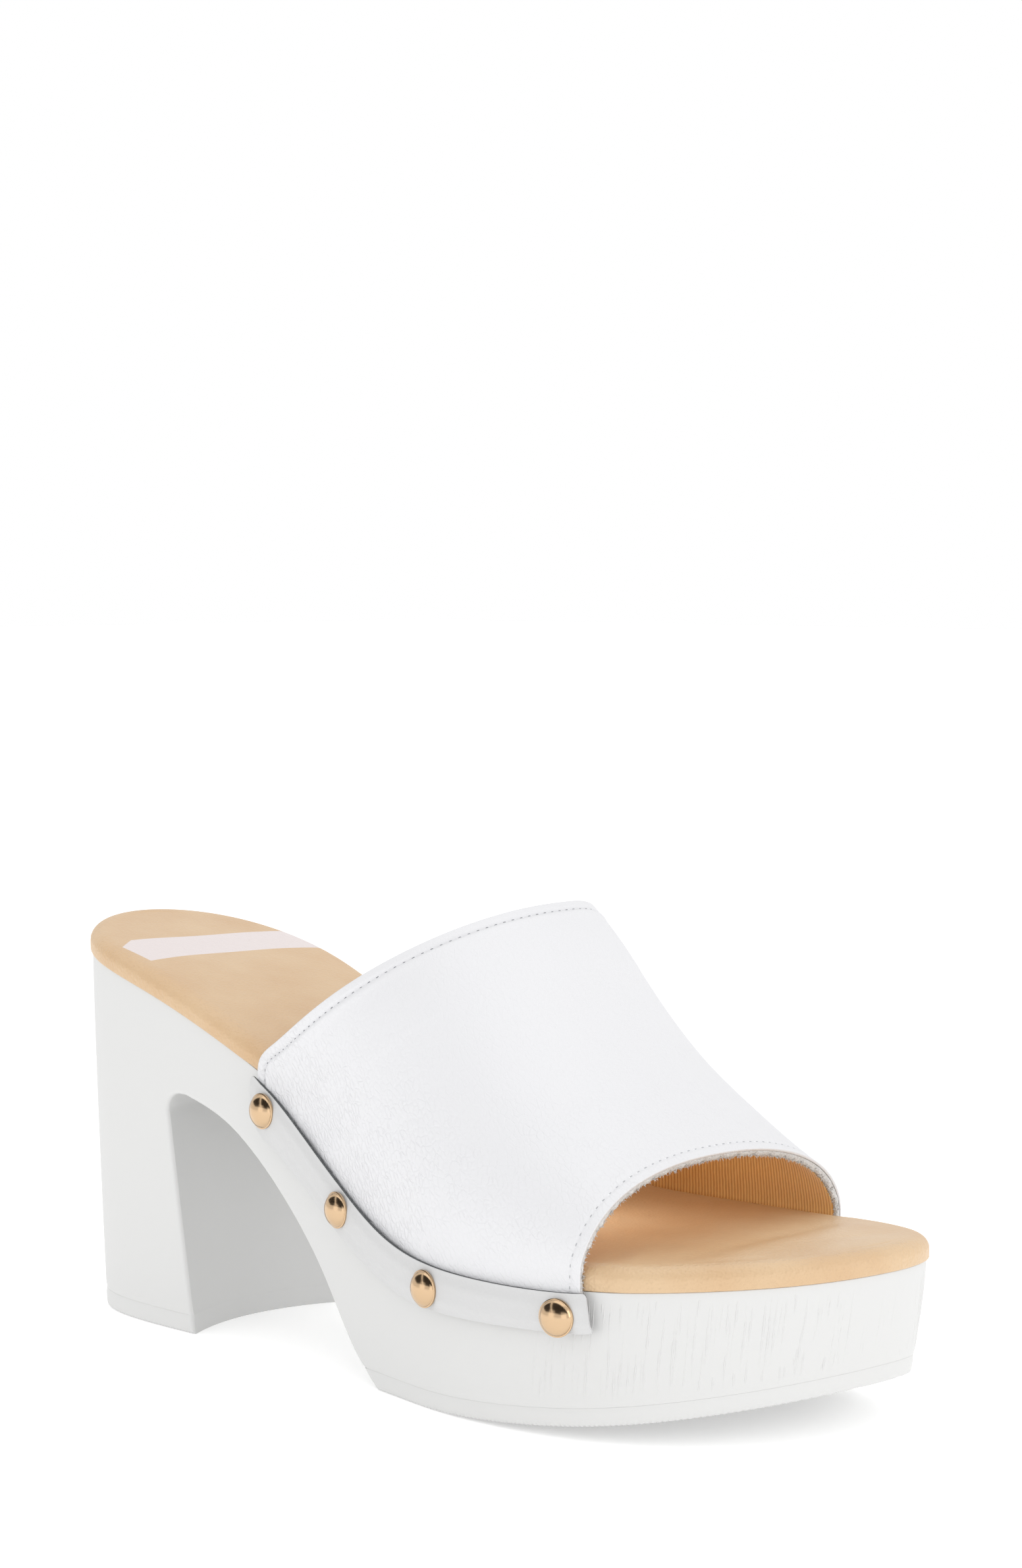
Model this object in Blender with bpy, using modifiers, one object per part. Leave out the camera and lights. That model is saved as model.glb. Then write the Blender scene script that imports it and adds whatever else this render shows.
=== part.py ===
"""Platform clog sandal, right shoe, in metres.

The sole's top is set out on a last: a plan outline, a side line and a rocker under the toe.
Everything else is seated on those three lines. +X points to the toe, +Y to the inner (medial)
side and +Z up. The origin is on the ground, under the middle of the heel.
"""
import math
from typing import NamedTuple

import bmesh
import bpy
import numpy as np
from mathutils import Matrix, Vector

# Driving sizes of the last and the sole
SHOE_LENGTH = 0.245         # sole's top, from the back of the heel to the tip of the toe
BALL_WIDTH = 0.090          # sole's top across the ball
HEEL_HEIGHT = 0.0942        # ground to the sole's top at the back of the heel
PLATFORM_HEIGHT = 0.0332    # ground to the sole's top under the ball
TOE_SPRING = 0.0114         # ground to the outsole under the tip of the toe
WAIST_THICKNESS = 0.0200    # sole unit just in front of the heel
OUTSOLE_THICKNESS = 0.0042  # band under the forepart
TOP_PIECE_THICKNESS = 0.0046  # band under the heel
TREAD_CHAMFER = 0.0008      # small edge round the ground face
FLANK_TAPER = 0.0010        # lean of the forepart's side from top to ground
HEEL_TAPER = 0.0030         # the same round the heel
TOE_TAPER = 0.0033          # the same at the tip of the toe
BREAST_HOLLOW = 0.0070      # how far the heel's front face curves in at its middle
BREAST_LEAN = 0.0070        # how much further forward that face stands at the ground
BREAST_CORNER = 0.0045      # round between that face and the underside of the waist

# Insole
INSOLE_THICKNESS = 0.0055
INSOLE_OVERHANG = 0.0006    # past the sole's edge, where no vamp stands beside it
INSOLE_ROUND = 0.0022       # its rolled upper edge
INSOLE_TUCK = 0.0008        # its small lower edge
INSOLE_CROWN = 0.0010       # rise of its middle over its edge
OVERHANG_RUN = 0.0080       # length over which the overhang fades out beside the vamp

# Upper, strips and studs
UPPER_WALL = 0.0017         # leather and lining together
INSTEP_RISE = 0.0393        # insole to the vamp's crest, at its highest
SKIRT_DEPTH = 0.0085        # vamp's lower edge below the sole's top, under the strip
STRIP_THICKNESS = 0.0016
STRIP_WIDTH_REAR = 0.0130
STRIP_WIDTH_FRONT = 0.0088
STUD_DIAMETER = 0.0080
STUD_RIM = 0.0003           # how far the thin flange stands out past the dome
STUD_RIM_HEIGHT = 0.0005
STUD_DOME_HEIGHT = 0.0021
STUD_DEPTH = 0.0053         # centre of a stud below the strip's upper edge
SEAT = 0.0003               # clearance between pieces that meet

# Places along the shoe, as shares of SHOE_LENGTH from the back of the heel
ORIGIN_ALONG = 0.120
HEEL_BREAST_ALONG = 0.235
FLAT_END_ALONG = 0.600
STRIP_ENDS_ALONG = (0.352, 0.827)
STUDS_ALONG = (0.377, 0.502, 0.648, 0.800)
HEEL_FADE_ALONG = (0.220, 0.340)    # where the heel's lean gives way to the waist's
TOE_FADE_ALONG = (0.800, 0.980)     # where the forepart's lean gives way to the toe's
TREAD_FADE_ALONG = (0.350, 0.400)   # inside the arch, where the two tread bands would meet
FLANK_CURVE = 1.3                   # how late the sole's side leans in on its way down
SOLE_LEVELS = (0.0, 0.12, 0.35, 0.65, 1.0)  # rings of the sole unit, as shares of its depth

# Mesh density
STATIONS = 54
ARCH_STEPS = 14
BREAST_STEPS = 10
CORNER_STEPS = 4
VAMP_ROWS = 20
VAMP_ARC_STEPS = 15
STRIP_STEPS = 26
STUD_STEPS = 20


class PlanRow(NamedTuple):
    """Half breadths of the sole's top at one station."""
    along: float    # share of SHOE_LENGTH
    inner: float    # share of BALL_WIDTH, towards +Y
    outer: float    # share of BALL_WIDTH, towards -Y


class SideRow(NamedTuple):
    """Height of the sole's top at one station."""
    along: float    # share of SHOE_LENGTH
    pitch: float    # share of HEEL_HEIGHT above PLATFORM_HEIGHT
    spring: float   # share of TOE_SPRING


class ArchRow(NamedTuple):
    """Underside of the waist at one station."""
    along: float    # share of SHOE_LENGTH
    rise: float     # share of the arch's height at the heel


class VampRow(NamedTuple):
    """One section of the vamp, from its rear edge to its front edge."""
    place: float        # 0 at the rear edge, 1 at the front edge
    foot: float         # share of SHOE_LENGTH where the section leaves the sole
    crest: float        # share of SHOE_LENGTH where its highest point lies
    crest_side: float   # share of BALL_WIDTH, towards +Y
    rise: float         # share of INSTEP_RISE above the insole
    fullness: float     # exponent of its arch, 2 for an ellipse
    bulge: float        # share of BALL_WIDTH that its side stands out past its foot


PLAN = (
    PlanRow(0.00, 0.012, -0.012), PlanRow(0.02, 0.187, 0.173), PlanRow(0.08, 0.307, 0.310),
    PlanRow(0.15, 0.336, 0.352), PlanRow(0.25, 0.312, 0.366), PlanRow(0.35, 0.277, 0.372),
    PlanRow(0.45, 0.274, 0.400), PlanRow(0.55, 0.331, 0.451), PlanRow(0.65, 0.439, 0.506),
    PlanRow(0.73, 0.491, 0.509), PlanRow(0.80, 0.492, 0.483), PlanRow(0.87, 0.461, 0.419),
    PlanRow(0.93, 0.401, 0.310), PlanRow(0.98, 0.298, 0.137), PlanRow(1.00, 0.115, -0.115),
)
SIDE = (
    SideRow(0.0, 1.000, 0.00), SideRow(0.1, 0.911, 0.00), SideRow(0.2, 0.810, 0.00),
    SideRow(0.3, 0.667, 0.00), SideRow(0.4, 0.480, 0.00), SideRow(0.5, 0.220, 0.00),
    SideRow(0.6, 0.051, 0.00), SideRow(0.7, 0.003, 0.00), SideRow(0.8, 0.000, 0.00),
    SideRow(0.9, 0.000, 0.13), SideRow(1.0, 0.000, 0.30),
)
ARCH = (
    ArchRow(0.235, 1.000), ArchRow(0.302, 0.909), ArchRow(0.346, 0.793), ArchRow(0.391, 0.640),
    ArchRow(0.422, 0.519), ArchRow(0.454, 0.370), ArchRow(0.496, 0.146), ArchRow(0.539, 0.000),
)
VAMP = (
    VampRow(0.00, 0.359, 0.603, 0.100, 0.952, 2.33, 0.064),
    VampRow(0.35, 0.528, 0.692, 0.043, 1.000, 2.28, 0.021),
    VampRow(0.70, 0.685, 0.766, 0.013, 0.805, 2.25, 0.003),
    VampRow(1.00, 0.820, 0.828, -0.013, 0.497, 2.22, -0.012),
)
VAMP_LEAN = 0.82        # how late in its rise a section swings forward to its crest
INNER_BULGE = 0.9       # the inner side's bulge, as a share of the outer side's


def spline(knots, values):
    """Return a smooth curve through the points, a natural cubic, as a function of an array."""
    x = np.array(knots, dtype=float)
    y = np.array(values, dtype=float)
    step = np.diff(x)
    slope = np.diff(y) / step
    count = len(x)
    system = np.eye(count)
    right = np.zeros(count)
    for i in range(1, count - 1):
        system[i, i - 1:i + 2] = (step[i - 1], 2.0 * (step[i - 1] + step[i]), step[i])
        right[i] = 6.0 * (slope[i] - slope[i - 1])
    bend = np.linalg.solve(system, right)

    def curve(at):
        at = np.clip(np.asarray(at, dtype=float), x[0], x[-1])
        k = np.clip(np.searchsorted(x, at) - 1, 0, count - 2)
        a = (x[k + 1] - at) / step[k]
        b = (at - x[k]) / step[k]
        bow = ((a ** 3 - a) * bend[k] + (b ** 3 - b) * bend[k + 1]) * step[k] ** 2 / 6.0
        return a * y[k] + b * y[k + 1] + bow

    return curve


def turn_of(along):
    """Angle that runs evenly round the outline's two ends, 0 at the heel and pi at the toe."""
    return np.arccos(1.0 - 2.0 * np.clip(along, 0.0, 1.0))


PLAN_TURNS = [float(turn_of(row.along)) for row in PLAN]
inner_half = spline(PLAN_TURNS, [row.inner for row in PLAN])
outer_half = spline(PLAN_TURNS, [row.outer for row in PLAN])
pitch_line = spline([row.along for row in SIDE], [row.pitch for row in SIDE])
spring_line = spline([row.along for row in SIDE], [row.spring for row in SIDE])
arch_line = spline([row.along for row in ARCH], [row.rise for row in ARCH])


def smooth_step(value):
    """Ease from 0 to 1 as the value does."""
    value = np.clip(value, 0.0, 1.0)
    return value * value * (3.0 - 2.0 * value)


def fade(share, span):
    """Ease from 0 to 1 over a span of the shoe's length."""
    return smooth_step((share - span[0]) / (span[1] - span[0]))


def share_of(x):
    """Share of the shoe's length at x."""
    return np.asarray(x) / SHOE_LENGTH + ORIGIN_ALONG


def x_of(share):
    """x at a share of the shoe's length."""
    return (np.asarray(share) - ORIGIN_ALONG) * SHOE_LENGTH


def top_height(x):
    """Height of the sole's top."""
    share = np.clip(share_of(x), 0.0, 1.0)
    climb = (HEEL_HEIGHT - PLATFORM_HEIGHT) * pitch_line(share)
    return PLATFORM_HEIGHT + climb + TOE_SPRING * spring_line(share)


def ground_height(x):
    """Height of the outsole's underside: flat, then a rocker up to the toe."""
    run = (np.clip(share_of(x), FLAT_END_ALONG, 1.0) - FLAT_END_ALONG) / (1.0 - FLAT_END_ALONG)
    return TOE_SPRING * run ** 2


def edge_side(x, inner):
    """y of the sole's top edge at x, on the inner or the outer side."""
    turn = turn_of(share_of(x))
    if inner:
        return BALL_WIDTH * inner_half(turn)
    return -BALL_WIDTH * outer_half(turn)


def normals_of(plan):
    """Outward normals of a closed plan line that runs clockwise seen from above."""
    tangent = np.roll(plan, -1, axis=0) - np.roll(plan, 1, axis=0)
    tangent /= np.linalg.norm(tangent, axis=1)[:, None]
    return np.stack([-tangent[:, 1], tangent[:, 0]], axis=1)


def outline():
    """Points round the sole's top edge, from the heel up the inner side and back, and their normals."""
    turns = np.linspace(0.0, 2.0 * math.pi, 2 * STATIONS, endpoint=False)
    forward = np.where(turns <= math.pi, turns, 2.0 * math.pi - turns)
    x = x_of((1.0 - np.cos(forward)) / 2.0)
    y = np.where(turns <= math.pi, inner_half(forward), -outer_half(forward)) * BALL_WIDTH
    points = np.stack([x, y], axis=1)
    return points, normals_of(points)


def taper_at(x):
    """Whole lean of the sole's side at x, from its top to the ground."""
    share = share_of(x)
    heel = 1.0 - fade(share, HEEL_FADE_ALONG)
    toe = fade(share, TOE_FADE_ALONG)
    return FLANK_TAPER + (HEEL_TAPER - FLANK_TAPER) * heel + (TOE_TAPER - FLANK_TAPER) * toe


def flank_ring(height):
    """One ring round the sole's side, at a height given as a function of x."""
    points, normals = outline()
    top = top_height(points[:, 0])
    ground = ground_height(points[:, 0])
    level = height(points[:, 0])
    depth = np.clip((top - level) / (top - ground), 0.0, 1.0)
    inset = taper_at(points[:, 0]) * depth ** FLANK_CURVE
    moved = points - normals * inset[:, None]
    return np.column_stack([moved, height(moved[:, 0])])


def shrink_ring(ring, inset, height):
    """The ring drawn in by an inset, set at a height given as a function of x."""
    plan = ring[:, :2]
    moved = plan - normals_of(plan) * inset
    return np.column_stack([moved, height(moved[:, 0])])


def slab(rings, columns=1, crown=0.0):
    """Closed mesh through rings from top to bottom, capped straight across from side to side."""
    mesh = bmesh.new()
    loops = [[mesh.verts.new(point) for point in ring] for ring in rings]
    count = len(rings[0])
    half = count // 2
    for upper, lower in zip(loops, loops[1:]):
        for i in range(count):
            j = (i + 1) % count
            mesh.faces.new((upper[i], upper[j], lower[j], lower[i]))

    def crossing(loop, i, rise):
        """Row of vertices across the cap, between the two sides at one station."""
        if i in (0, half):
            return [loop[i]]
        left = loop[i]
        right = loop[count - i]
        row = [left]
        for k in range(1, columns):
            share = k / columns
            point = left.co.lerp(right.co, share)
            point.z += rise * 4.0 * share * (1.0 - share)
            row.append(mesh.verts.new(point))
        row.append(right)
        return row

    for loop, rise, upward in ((loops[0], crown, True), (loops[-1], 0.0, False)):
        rows = [crossing(loop, i, rise) for i in range(half + 1)]
        for first, second in zip(rows, rows[1:]):
            if len(first) == 1:
                faces = [(first[0], second[k], second[k + 1]) for k in range(len(second) - 1)]
            elif len(second) == 1:
                faces = [(first[k], second[0], first[k + 1]) for k in range(len(first) - 1)]
            else:
                faces = [(first[k], second[k], second[k + 1], first[k + 1]) for k in range(columns)]
            for face in faces:
                mesh.faces.new(tuple(reversed(face)) if upward else face)
    return mesh


def grid_mesh(rows):
    """Open surface through rows of points, all of one length."""
    mesh = bmesh.new()
    lines = [[mesh.verts.new(point) for point in row] for row in rows]
    for first, second in zip(lines, lines[1:]):
        for k in range(len(first) - 1):
            mesh.faces.new((first[k], first[k + 1], second[k + 1], second[k]))
    return mesh


def principled(name, colour, roughness, metallic=0.0):
    """A plain material."""
    material = bpy.data.materials.new(name)
    material.use_nodes = True
    shader = material.node_tree.nodes["Principled BSDF"]
    shader.inputs["Base Color"].default_value = (*colour, 1.0)
    shader.inputs["Roughness"].default_value = roughness
    shader.inputs["Metallic"].default_value = metallic
    return material


def new_object(name, mesh, collection, material=None):
    """Object in the collection from a bmesh, which is freed."""
    data = bpy.data.meshes.new(name)
    mesh.normal_update()
    mesh.to_mesh(data)
    mesh.free()
    if material is not None:
        data.materials.append(material)
    data.shade_smooth()
    data.set_sharp_from_angle(angle=math.radians(35.0))
    thing = bpy.data.objects.new(name, data)
    collection.objects.link(thing)
    return thing


def evaluated_mesh(thing):
    """Mesh of the object with its modifiers applied."""
    graph = bpy.context.evaluated_depsgraph_get()
    return bpy.data.meshes.new_from_object(thing.evaluated_get(graph))


def arch_cutter(collection):
    """The space between the heel and the forepart, with the heel's hollow front face."""
    breast_ground = float(x_of(HEEL_BREAST_ALONG))
    arch_top = float(top_height(breast_ground)) - WAIST_THICKNESS
    inner_edge = float(edge_side(breast_ground, True))
    outer_edge = float(edge_side(breast_ground, False))
    middle = (inner_edge + outer_edge) / 2.0
    half_breadth = (inner_edge - outer_edge) / 2.0
    below = PLATFORM_HEIGHT / 4.0   # how far the space reaches past the ground face
    stations = [-BALL_WIDTH, *np.linspace(outer_edge, inner_edge, BREAST_STEPS + 1), BALL_WIDTH]
    rows = []
    for y in stations:
        hollow = BREAST_HOLLOW * max(0.0, 1.0 - ((y - middle) / half_breadth) ** 2)
        foot = breast_ground - hollow
        head = foot - BREAST_LEAN
        section = [(foot + BREAST_LEAN * below / arch_top, -below), (foot, 0.0)]
        for angle in np.linspace(0.0, math.pi / 2.0, CORNER_STEPS + 1):
            section.append((head + BREAST_CORNER * (1.0 - math.cos(angle)),
                            arch_top - BREAST_CORNER * (1.0 - math.sin(angle))))
        for share in np.linspace(ARCH[0].along, ARCH[-1].along, ARCH_STEPS + 1)[1:]:
            section.append((float(x_of(share)), arch_top * float(arch_line(share))))
        run_x, run_z = np.subtract(section[-1], section[-2])
        section.append((section[-1][0] + run_x * below / -run_z, -below))
        rows.append([(x, y, z) for x, z in section])
    mesh = bmesh.new()
    lines = [[mesh.verts.new(point) for point in row] for row in rows]
    count = len(rows[0])
    for first, second in zip(lines, lines[1:]):
        for k in range(count):
            j = (k + 1) % count
            mesh.faces.new((first[k], first[j], second[j], second[k]))
    mesh.faces.new(reversed(lines[0]))
    mesh.faces.new(lines[-1])
    bmesh.ops.recalc_face_normals(mesh, faces=mesh.faces)
    cutter = new_object("arch_space", mesh, collection)
    cutter.hide_render = True
    cutter.display_type = 'WIRE'
    return cutter


def cut(thing, cutter):
    """Take the cutter's space out of the object."""
    modifier = thing.modifiers.new("cut", 'BOOLEAN')
    modifier.operation = 'DIFFERENCE'
    modifier.solver = 'EXACT'
    modifier.object = cutter


def tread_top(x):
    """Height of the seam between the sole unit and what lies under it."""
    forward = fade(share_of(x), TREAD_FADE_ALONG)
    band = TOP_PIECE_THICKNESS + (OUTSOLE_THICKNESS - TOP_PIECE_THICKNESS) * forward
    return ground_height(x) + band


def make_sole_unit(collection, cutter, material):
    """Platform, waist and heel in one moulding."""
    rings = []
    for share in SOLE_LEVELS:
        def level(x, share=share):
            bottom = tread_top(x) + SEAT
            return top_height(x) + (bottom - top_height(x)) * share
        rings.append(flank_ring(level))
    thing = new_object("sole_unit", slab(rings), collection, material)
    cut(thing, cutter)


def make_tread(collection, cutter, heel_material, forepart_material):
    """Top piece and outsole: one layer over the ground, parted by the arch."""
    side = flank_ring(lambda x: ground_height(x) + TREAD_CHAMFER)
    rings = (flank_ring(tread_top), side, shrink_ring(side, TREAD_CHAMFER, ground_height))
    layer = new_object("tread_layer", slab(rings), collection)
    cut(layer, cutter)
    whole = evaluated_mesh(layer)
    bpy.data.objects.remove(layer)
    middle = float(x_of((HEEL_BREAST_ALONG + ARCH[-1].along) / 2.0))
    for name, forward, material in (("heel_top_piece", False, heel_material),
                                    ("outsole_forepart", True, forepart_material)):
        mesh = bmesh.new()
        mesh.from_mesh(whole)
        other = [v for v in mesh.verts if (v.co.x > middle) != forward]
        bmesh.ops.delete(mesh, geom=other, context='VERTS')
        new_object(name, mesh, collection, material)
    bpy.data.meshes.remove(whole)


def insole_overhang(x):
    """How far the insole's edge stands past the sole's: nothing beside the vamp."""
    rear = float(x_of(STRIP_ENDS_ALONG[0])) - SEAT
    front = float(x_of(STRIP_ENDS_ALONG[1])) + SEAT
    beside = np.minimum(smooth_step((x - rear + OVERHANG_RUN) / OVERHANG_RUN),
                        smooth_step((front + OVERHANG_RUN - x) / OVERHANG_RUN))
    return INSOLE_OVERHANG * (1.0 - beside)


def make_insole(collection, material):
    """Padded insole on the sole's top, its upper edge rolled over."""
    points, normals = outline()
    edge = points + normals * insole_overhang(points[:, 0])[:, None]
    edge = np.column_stack([edge, top_height(edge[:, 0])])
    rings = []
    for angle in np.radians((0.0, 40.0, 90.0)):
        inset = INSOLE_ROUND * (1.0 - math.sin(angle))
        rise = INSOLE_THICKNESS - INSOLE_ROUND * (1.0 - math.cos(angle))
        rings.append(shrink_ring(edge, inset, lambda x, rise=rise: top_height(x) + SEAT + rise))
    rings.append(shrink_ring(edge, 0.0, lambda x: top_height(x) + SEAT + INSOLE_TUCK))
    rings.append(shrink_ring(edge, INSOLE_TUCK, lambda x: top_height(x) + SEAT))
    new_object("insole", slab(rings, columns=6, crown=INSOLE_CROWN), collection, material)


vamp_foot = spline([row.place for row in VAMP], [row.foot for row in VAMP])
vamp_crest = spline([row.place for row in VAMP], [row.crest for row in VAMP])
vamp_crest_side = spline([row.place for row in VAMP], [row.crest_side for row in VAMP])
vamp_rise = spline([row.place for row in VAMP], [row.rise for row in VAMP])
vamp_fullness = spline([row.place for row in VAMP], [row.fullness for row in VAMP])
vamp_bulge = spline([row.place for row in VAMP], [row.bulge for row in VAMP])


def vamp_side_line(place, inner):
    """Outer face of the vamp at one section, from its lower edge up to its crest, on one side."""
    foot_x = float(x_of(vamp_foot(place)))
    crest_x = float(x_of(vamp_crest(place)))
    crest_y = BALL_WIDTH * float(vamp_crest_side(place))
    edge_z = float(top_height(foot_x))
    start_z = edge_z + SEAT + INSOLE_THICKNESS
    crest_z = start_z + INSTEP_RISE * float(vamp_rise(place))
    power = 2.0 / float(vamp_fullness(place))
    bulge = BALL_WIDTH * float(vamp_bulge(place)) * (INNER_BULGE if inner else 1.0)
    outward = 1.0 if inner else -1.0
    stand = SEAT + UPPER_WALL
    line = []
    for z in (edge_z - SKIRT_DEPTH, edge_z - SKIRT_DEPTH / 2.0, edge_z, (edge_z + start_z) / 2.0):
        line.append((foot_x, float(edge_side(foot_x, inner)) + outward * stand, z))
    for angle in np.linspace(0.0, math.pi / 2.0, VAMP_ARC_STEPS + 1):
        up = math.sin(angle) ** power
        out = max(0.0, math.cos(angle)) ** power
        x = foot_x + (crest_x - foot_x) * up ** VAMP_LEAN
        side_y = float(edge_side(x, inner)) + outward * (stand + bulge * 4.0 * up * (1.0 - up))
        y = crest_y + (side_y - crest_y) * out
        line.append((x, y, start_z + (crest_z - start_z) * up))
    return line


def make_vamp(collection, material):
    """The upper: one hollow vamp, open in front, behind and underneath."""
    rows = []
    for place in np.linspace(0.0, 1.0, VAMP_ROWS + 1):
        outer = vamp_side_line(place, inner=False)
        inner = vamp_side_line(place, inner=True)
        rows.append(inner + outer[-2::-1])
    thing = new_object("vamp", grid_mesh(rows), collection, material)
    wall = thing.modifiers.new("wall", 'SOLIDIFY')
    wall.thickness = UPPER_WALL
    wall.offset = -1.0
    wall.use_even_offset = True


def strip_width(share):
    """Width of a strip at a share of the shoe's length."""
    return STRIP_WIDTH_REAR + (STRIP_WIDTH_FRONT - STRIP_WIDTH_REAR) * fade(share, STRIP_ENDS_ALONG)


def make_strip(name, inner, collection, material):
    """Leather strip over the vamp's lower edge, with its upper edge along the sole's top."""
    outward = 1.0 if inner else -1.0
    stand = SEAT + UPPER_WALL + SEAT
    rows = []
    for share in np.linspace(*STRIP_ENDS_ALONG, STRIP_STEPS + 1):
        x = float(x_of(share))
        y = float(edge_side(x, inner)) + outward * stand
        top = float(top_height(x))
        rows.append([(x, y, top - float(strip_width(share)) * part) for part in (0.0, 0.5, 1.0)])
    if inner:
        rows = [list(reversed(row)) for row in rows]
    thing = new_object(name, grid_mesh(rows), collection, material)
    wall = thing.modifiers.new("wall", 'SOLIDIFY')
    wall.thickness = STRIP_THICKNESS
    wall.offset = 1.0
    wall.use_even_offset = True


def stud_mesh():
    """Turned stud head: a low dome on a thin flange, its back at z = 0."""
    radius = STUD_DIAMETER / 2.0
    rim = radius + STUD_RIM
    crown = STUD_DOME_HEIGHT - STUD_RIM_HEIGHT
    profile = [(0.0, STUD_DOME_HEIGHT)]
    for angle in np.radians((25.0, 50.0, 72.0)):
        profile.append((radius * math.sin(angle), STUD_RIM_HEIGHT + crown * math.cos(angle)))
    profile += [(radius, STUD_RIM_HEIGHT), (rim, STUD_RIM_HEIGHT), (rim, 0.0), (0.0, 0.0)]
    mesh = bmesh.new()
    verts = [mesh.verts.new((x, 0.0, z)) for x, z in profile]
    for first, second in zip(verts, verts[1:]):
        mesh.edges.new((first, second))
    return mesh


def make_studs(side_name, inner, collection, material):
    """Four studs through a strip, square to its outer face."""
    outward = 1.0 if inner else -1.0
    stand = 3.0 * SEAT + UPPER_WALL + STRIP_THICKNESS
    step = STUD_DIAMETER / 4.0      # half the run over which the strip's direction is taken
    for number, share in enumerate(STUDS_ALONG, start=1):
        x = float(x_of(share))
        slope = float(edge_side(x + step, inner) - edge_side(x - step, inner)) / (2.0 * step)
        normal = Vector((-slope * outward, outward, 0.0)).normalized()
        seat = Vector((x, float(edge_side(x, inner)), float(top_height(x)) - STUD_DEPTH))
        thing = new_object(f"stud_{side_name}_{number}", stud_mesh(), collection, material)
        turn = normal.to_track_quat('Z', 'Y').to_matrix().to_4x4()
        thing.matrix_world = Matrix.Translation(seat + normal * stand) @ turn
        screw = thing.modifiers.new("turn", 'SCREW')
        screw.axis = 'Z'
        screw.steps = STUD_STEPS
        screw.render_steps = STUD_STEPS
        screw.use_merge_vertices = True
        screw.merge_threshold = 0.00001


def main():
    """Build the shoe."""
    for thing in list(bpy.data.objects):
        bpy.data.objects.remove(thing)
    shoe = bpy.data.collections.new("platform_sandal")
    cutters = bpy.data.collections.new("cutters")
    bpy.context.scene.collection.children.link(shoe)
    bpy.context.scene.collection.children.link(cutters)

    moulded = principled("warm white moulded sole", (0.80, 0.78, 0.73), 0.55)
    tread = principled("warm white tread rubber", (0.76, 0.74, 0.69), 0.65)
    top_lift = principled("warm white top piece rubber", (0.76, 0.74, 0.69), 0.65)
    tan = principled("tan insole leather", (0.83, 0.60, 0.37), 0.45)
    white = principled("white pebbled leather", (0.82, 0.82, 0.82), 0.50)
    gold = principled("pale gold brass", (0.83, 0.68, 0.50), 0.25, 1.0)

    cutter = arch_cutter(cutters)
    make_sole_unit(shoe, cutter, moulded)
    make_tread(shoe, cutter, top_lift, tread)
    make_insole(shoe, tan)
    make_vamp(shoe, white)
    for side_name, inner in (("lateral", False), ("medial", True)):
        make_strip(f"welt_strip_{side_name}", inner, shoe, white)
        make_studs(side_name, inner, shoe, gold)


main()
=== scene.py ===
"""Looks of a platform sandal, right shoe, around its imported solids.

Everything is in metres. The last's curves are those of the part's source, so each piece lies on its solid.
+X points to the toe, +Y to the inner (medial) side, +Z up; the origin is on the ground under the heel.
"""
import logging
import math
from dataclasses import dataclass, field
from enum import Enum
from typing import Any, Callable, Sequence

import bmesh
import bpy
import numpy as np
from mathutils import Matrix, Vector


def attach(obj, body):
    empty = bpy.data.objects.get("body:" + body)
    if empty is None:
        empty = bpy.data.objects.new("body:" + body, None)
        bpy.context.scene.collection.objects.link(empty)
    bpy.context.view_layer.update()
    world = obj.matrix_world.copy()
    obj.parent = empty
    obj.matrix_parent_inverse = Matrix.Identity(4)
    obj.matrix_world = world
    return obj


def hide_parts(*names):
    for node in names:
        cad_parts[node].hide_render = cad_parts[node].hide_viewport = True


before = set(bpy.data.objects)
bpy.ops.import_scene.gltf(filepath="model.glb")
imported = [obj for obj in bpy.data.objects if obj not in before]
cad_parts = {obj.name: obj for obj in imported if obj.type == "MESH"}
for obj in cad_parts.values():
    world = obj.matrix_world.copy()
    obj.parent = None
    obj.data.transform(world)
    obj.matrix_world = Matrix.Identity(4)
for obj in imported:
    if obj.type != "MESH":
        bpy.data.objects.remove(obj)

log = logging.getLogger("sandal")
Array = np.ndarray
Curve = Callable[[Any], Array]

MM = 0.001
SEAT = 0.3 * MM         # clearance between pieces that meet, as in the solids
UPPER_WALL = 1.7 * MM   # leather and lining of the solid
STRIP_THICKNESS = 1.6 * MM
STRIP_ENDS_ALONG = (0.352, 0.827)                   # shares of the shoe's length
STUDS_ALONG = (0.377, 0.502, 0.648, 0.800)
MERGE = 0.002 * MM      # points closer than this are one point


class Side(Enum):
    """The shoe's two sides, as the sign of y."""
    LATERAL = -1.0
    MEDIAL = 1.0

    @property
    def word(self) -> str:
        """The side's name in the nodes' names."""
        return self.name.lower()


class Slot(Enum):
    """Material slots of the record."""
    SOLE = "moulded_sole"
    TREAD = "tread"
    INSOLE = "insole_leather"
    UPPER = "upper_leather"
    STRIP = "strip_leather"
    STUDS = "studs"


# Curves and meshes


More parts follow.
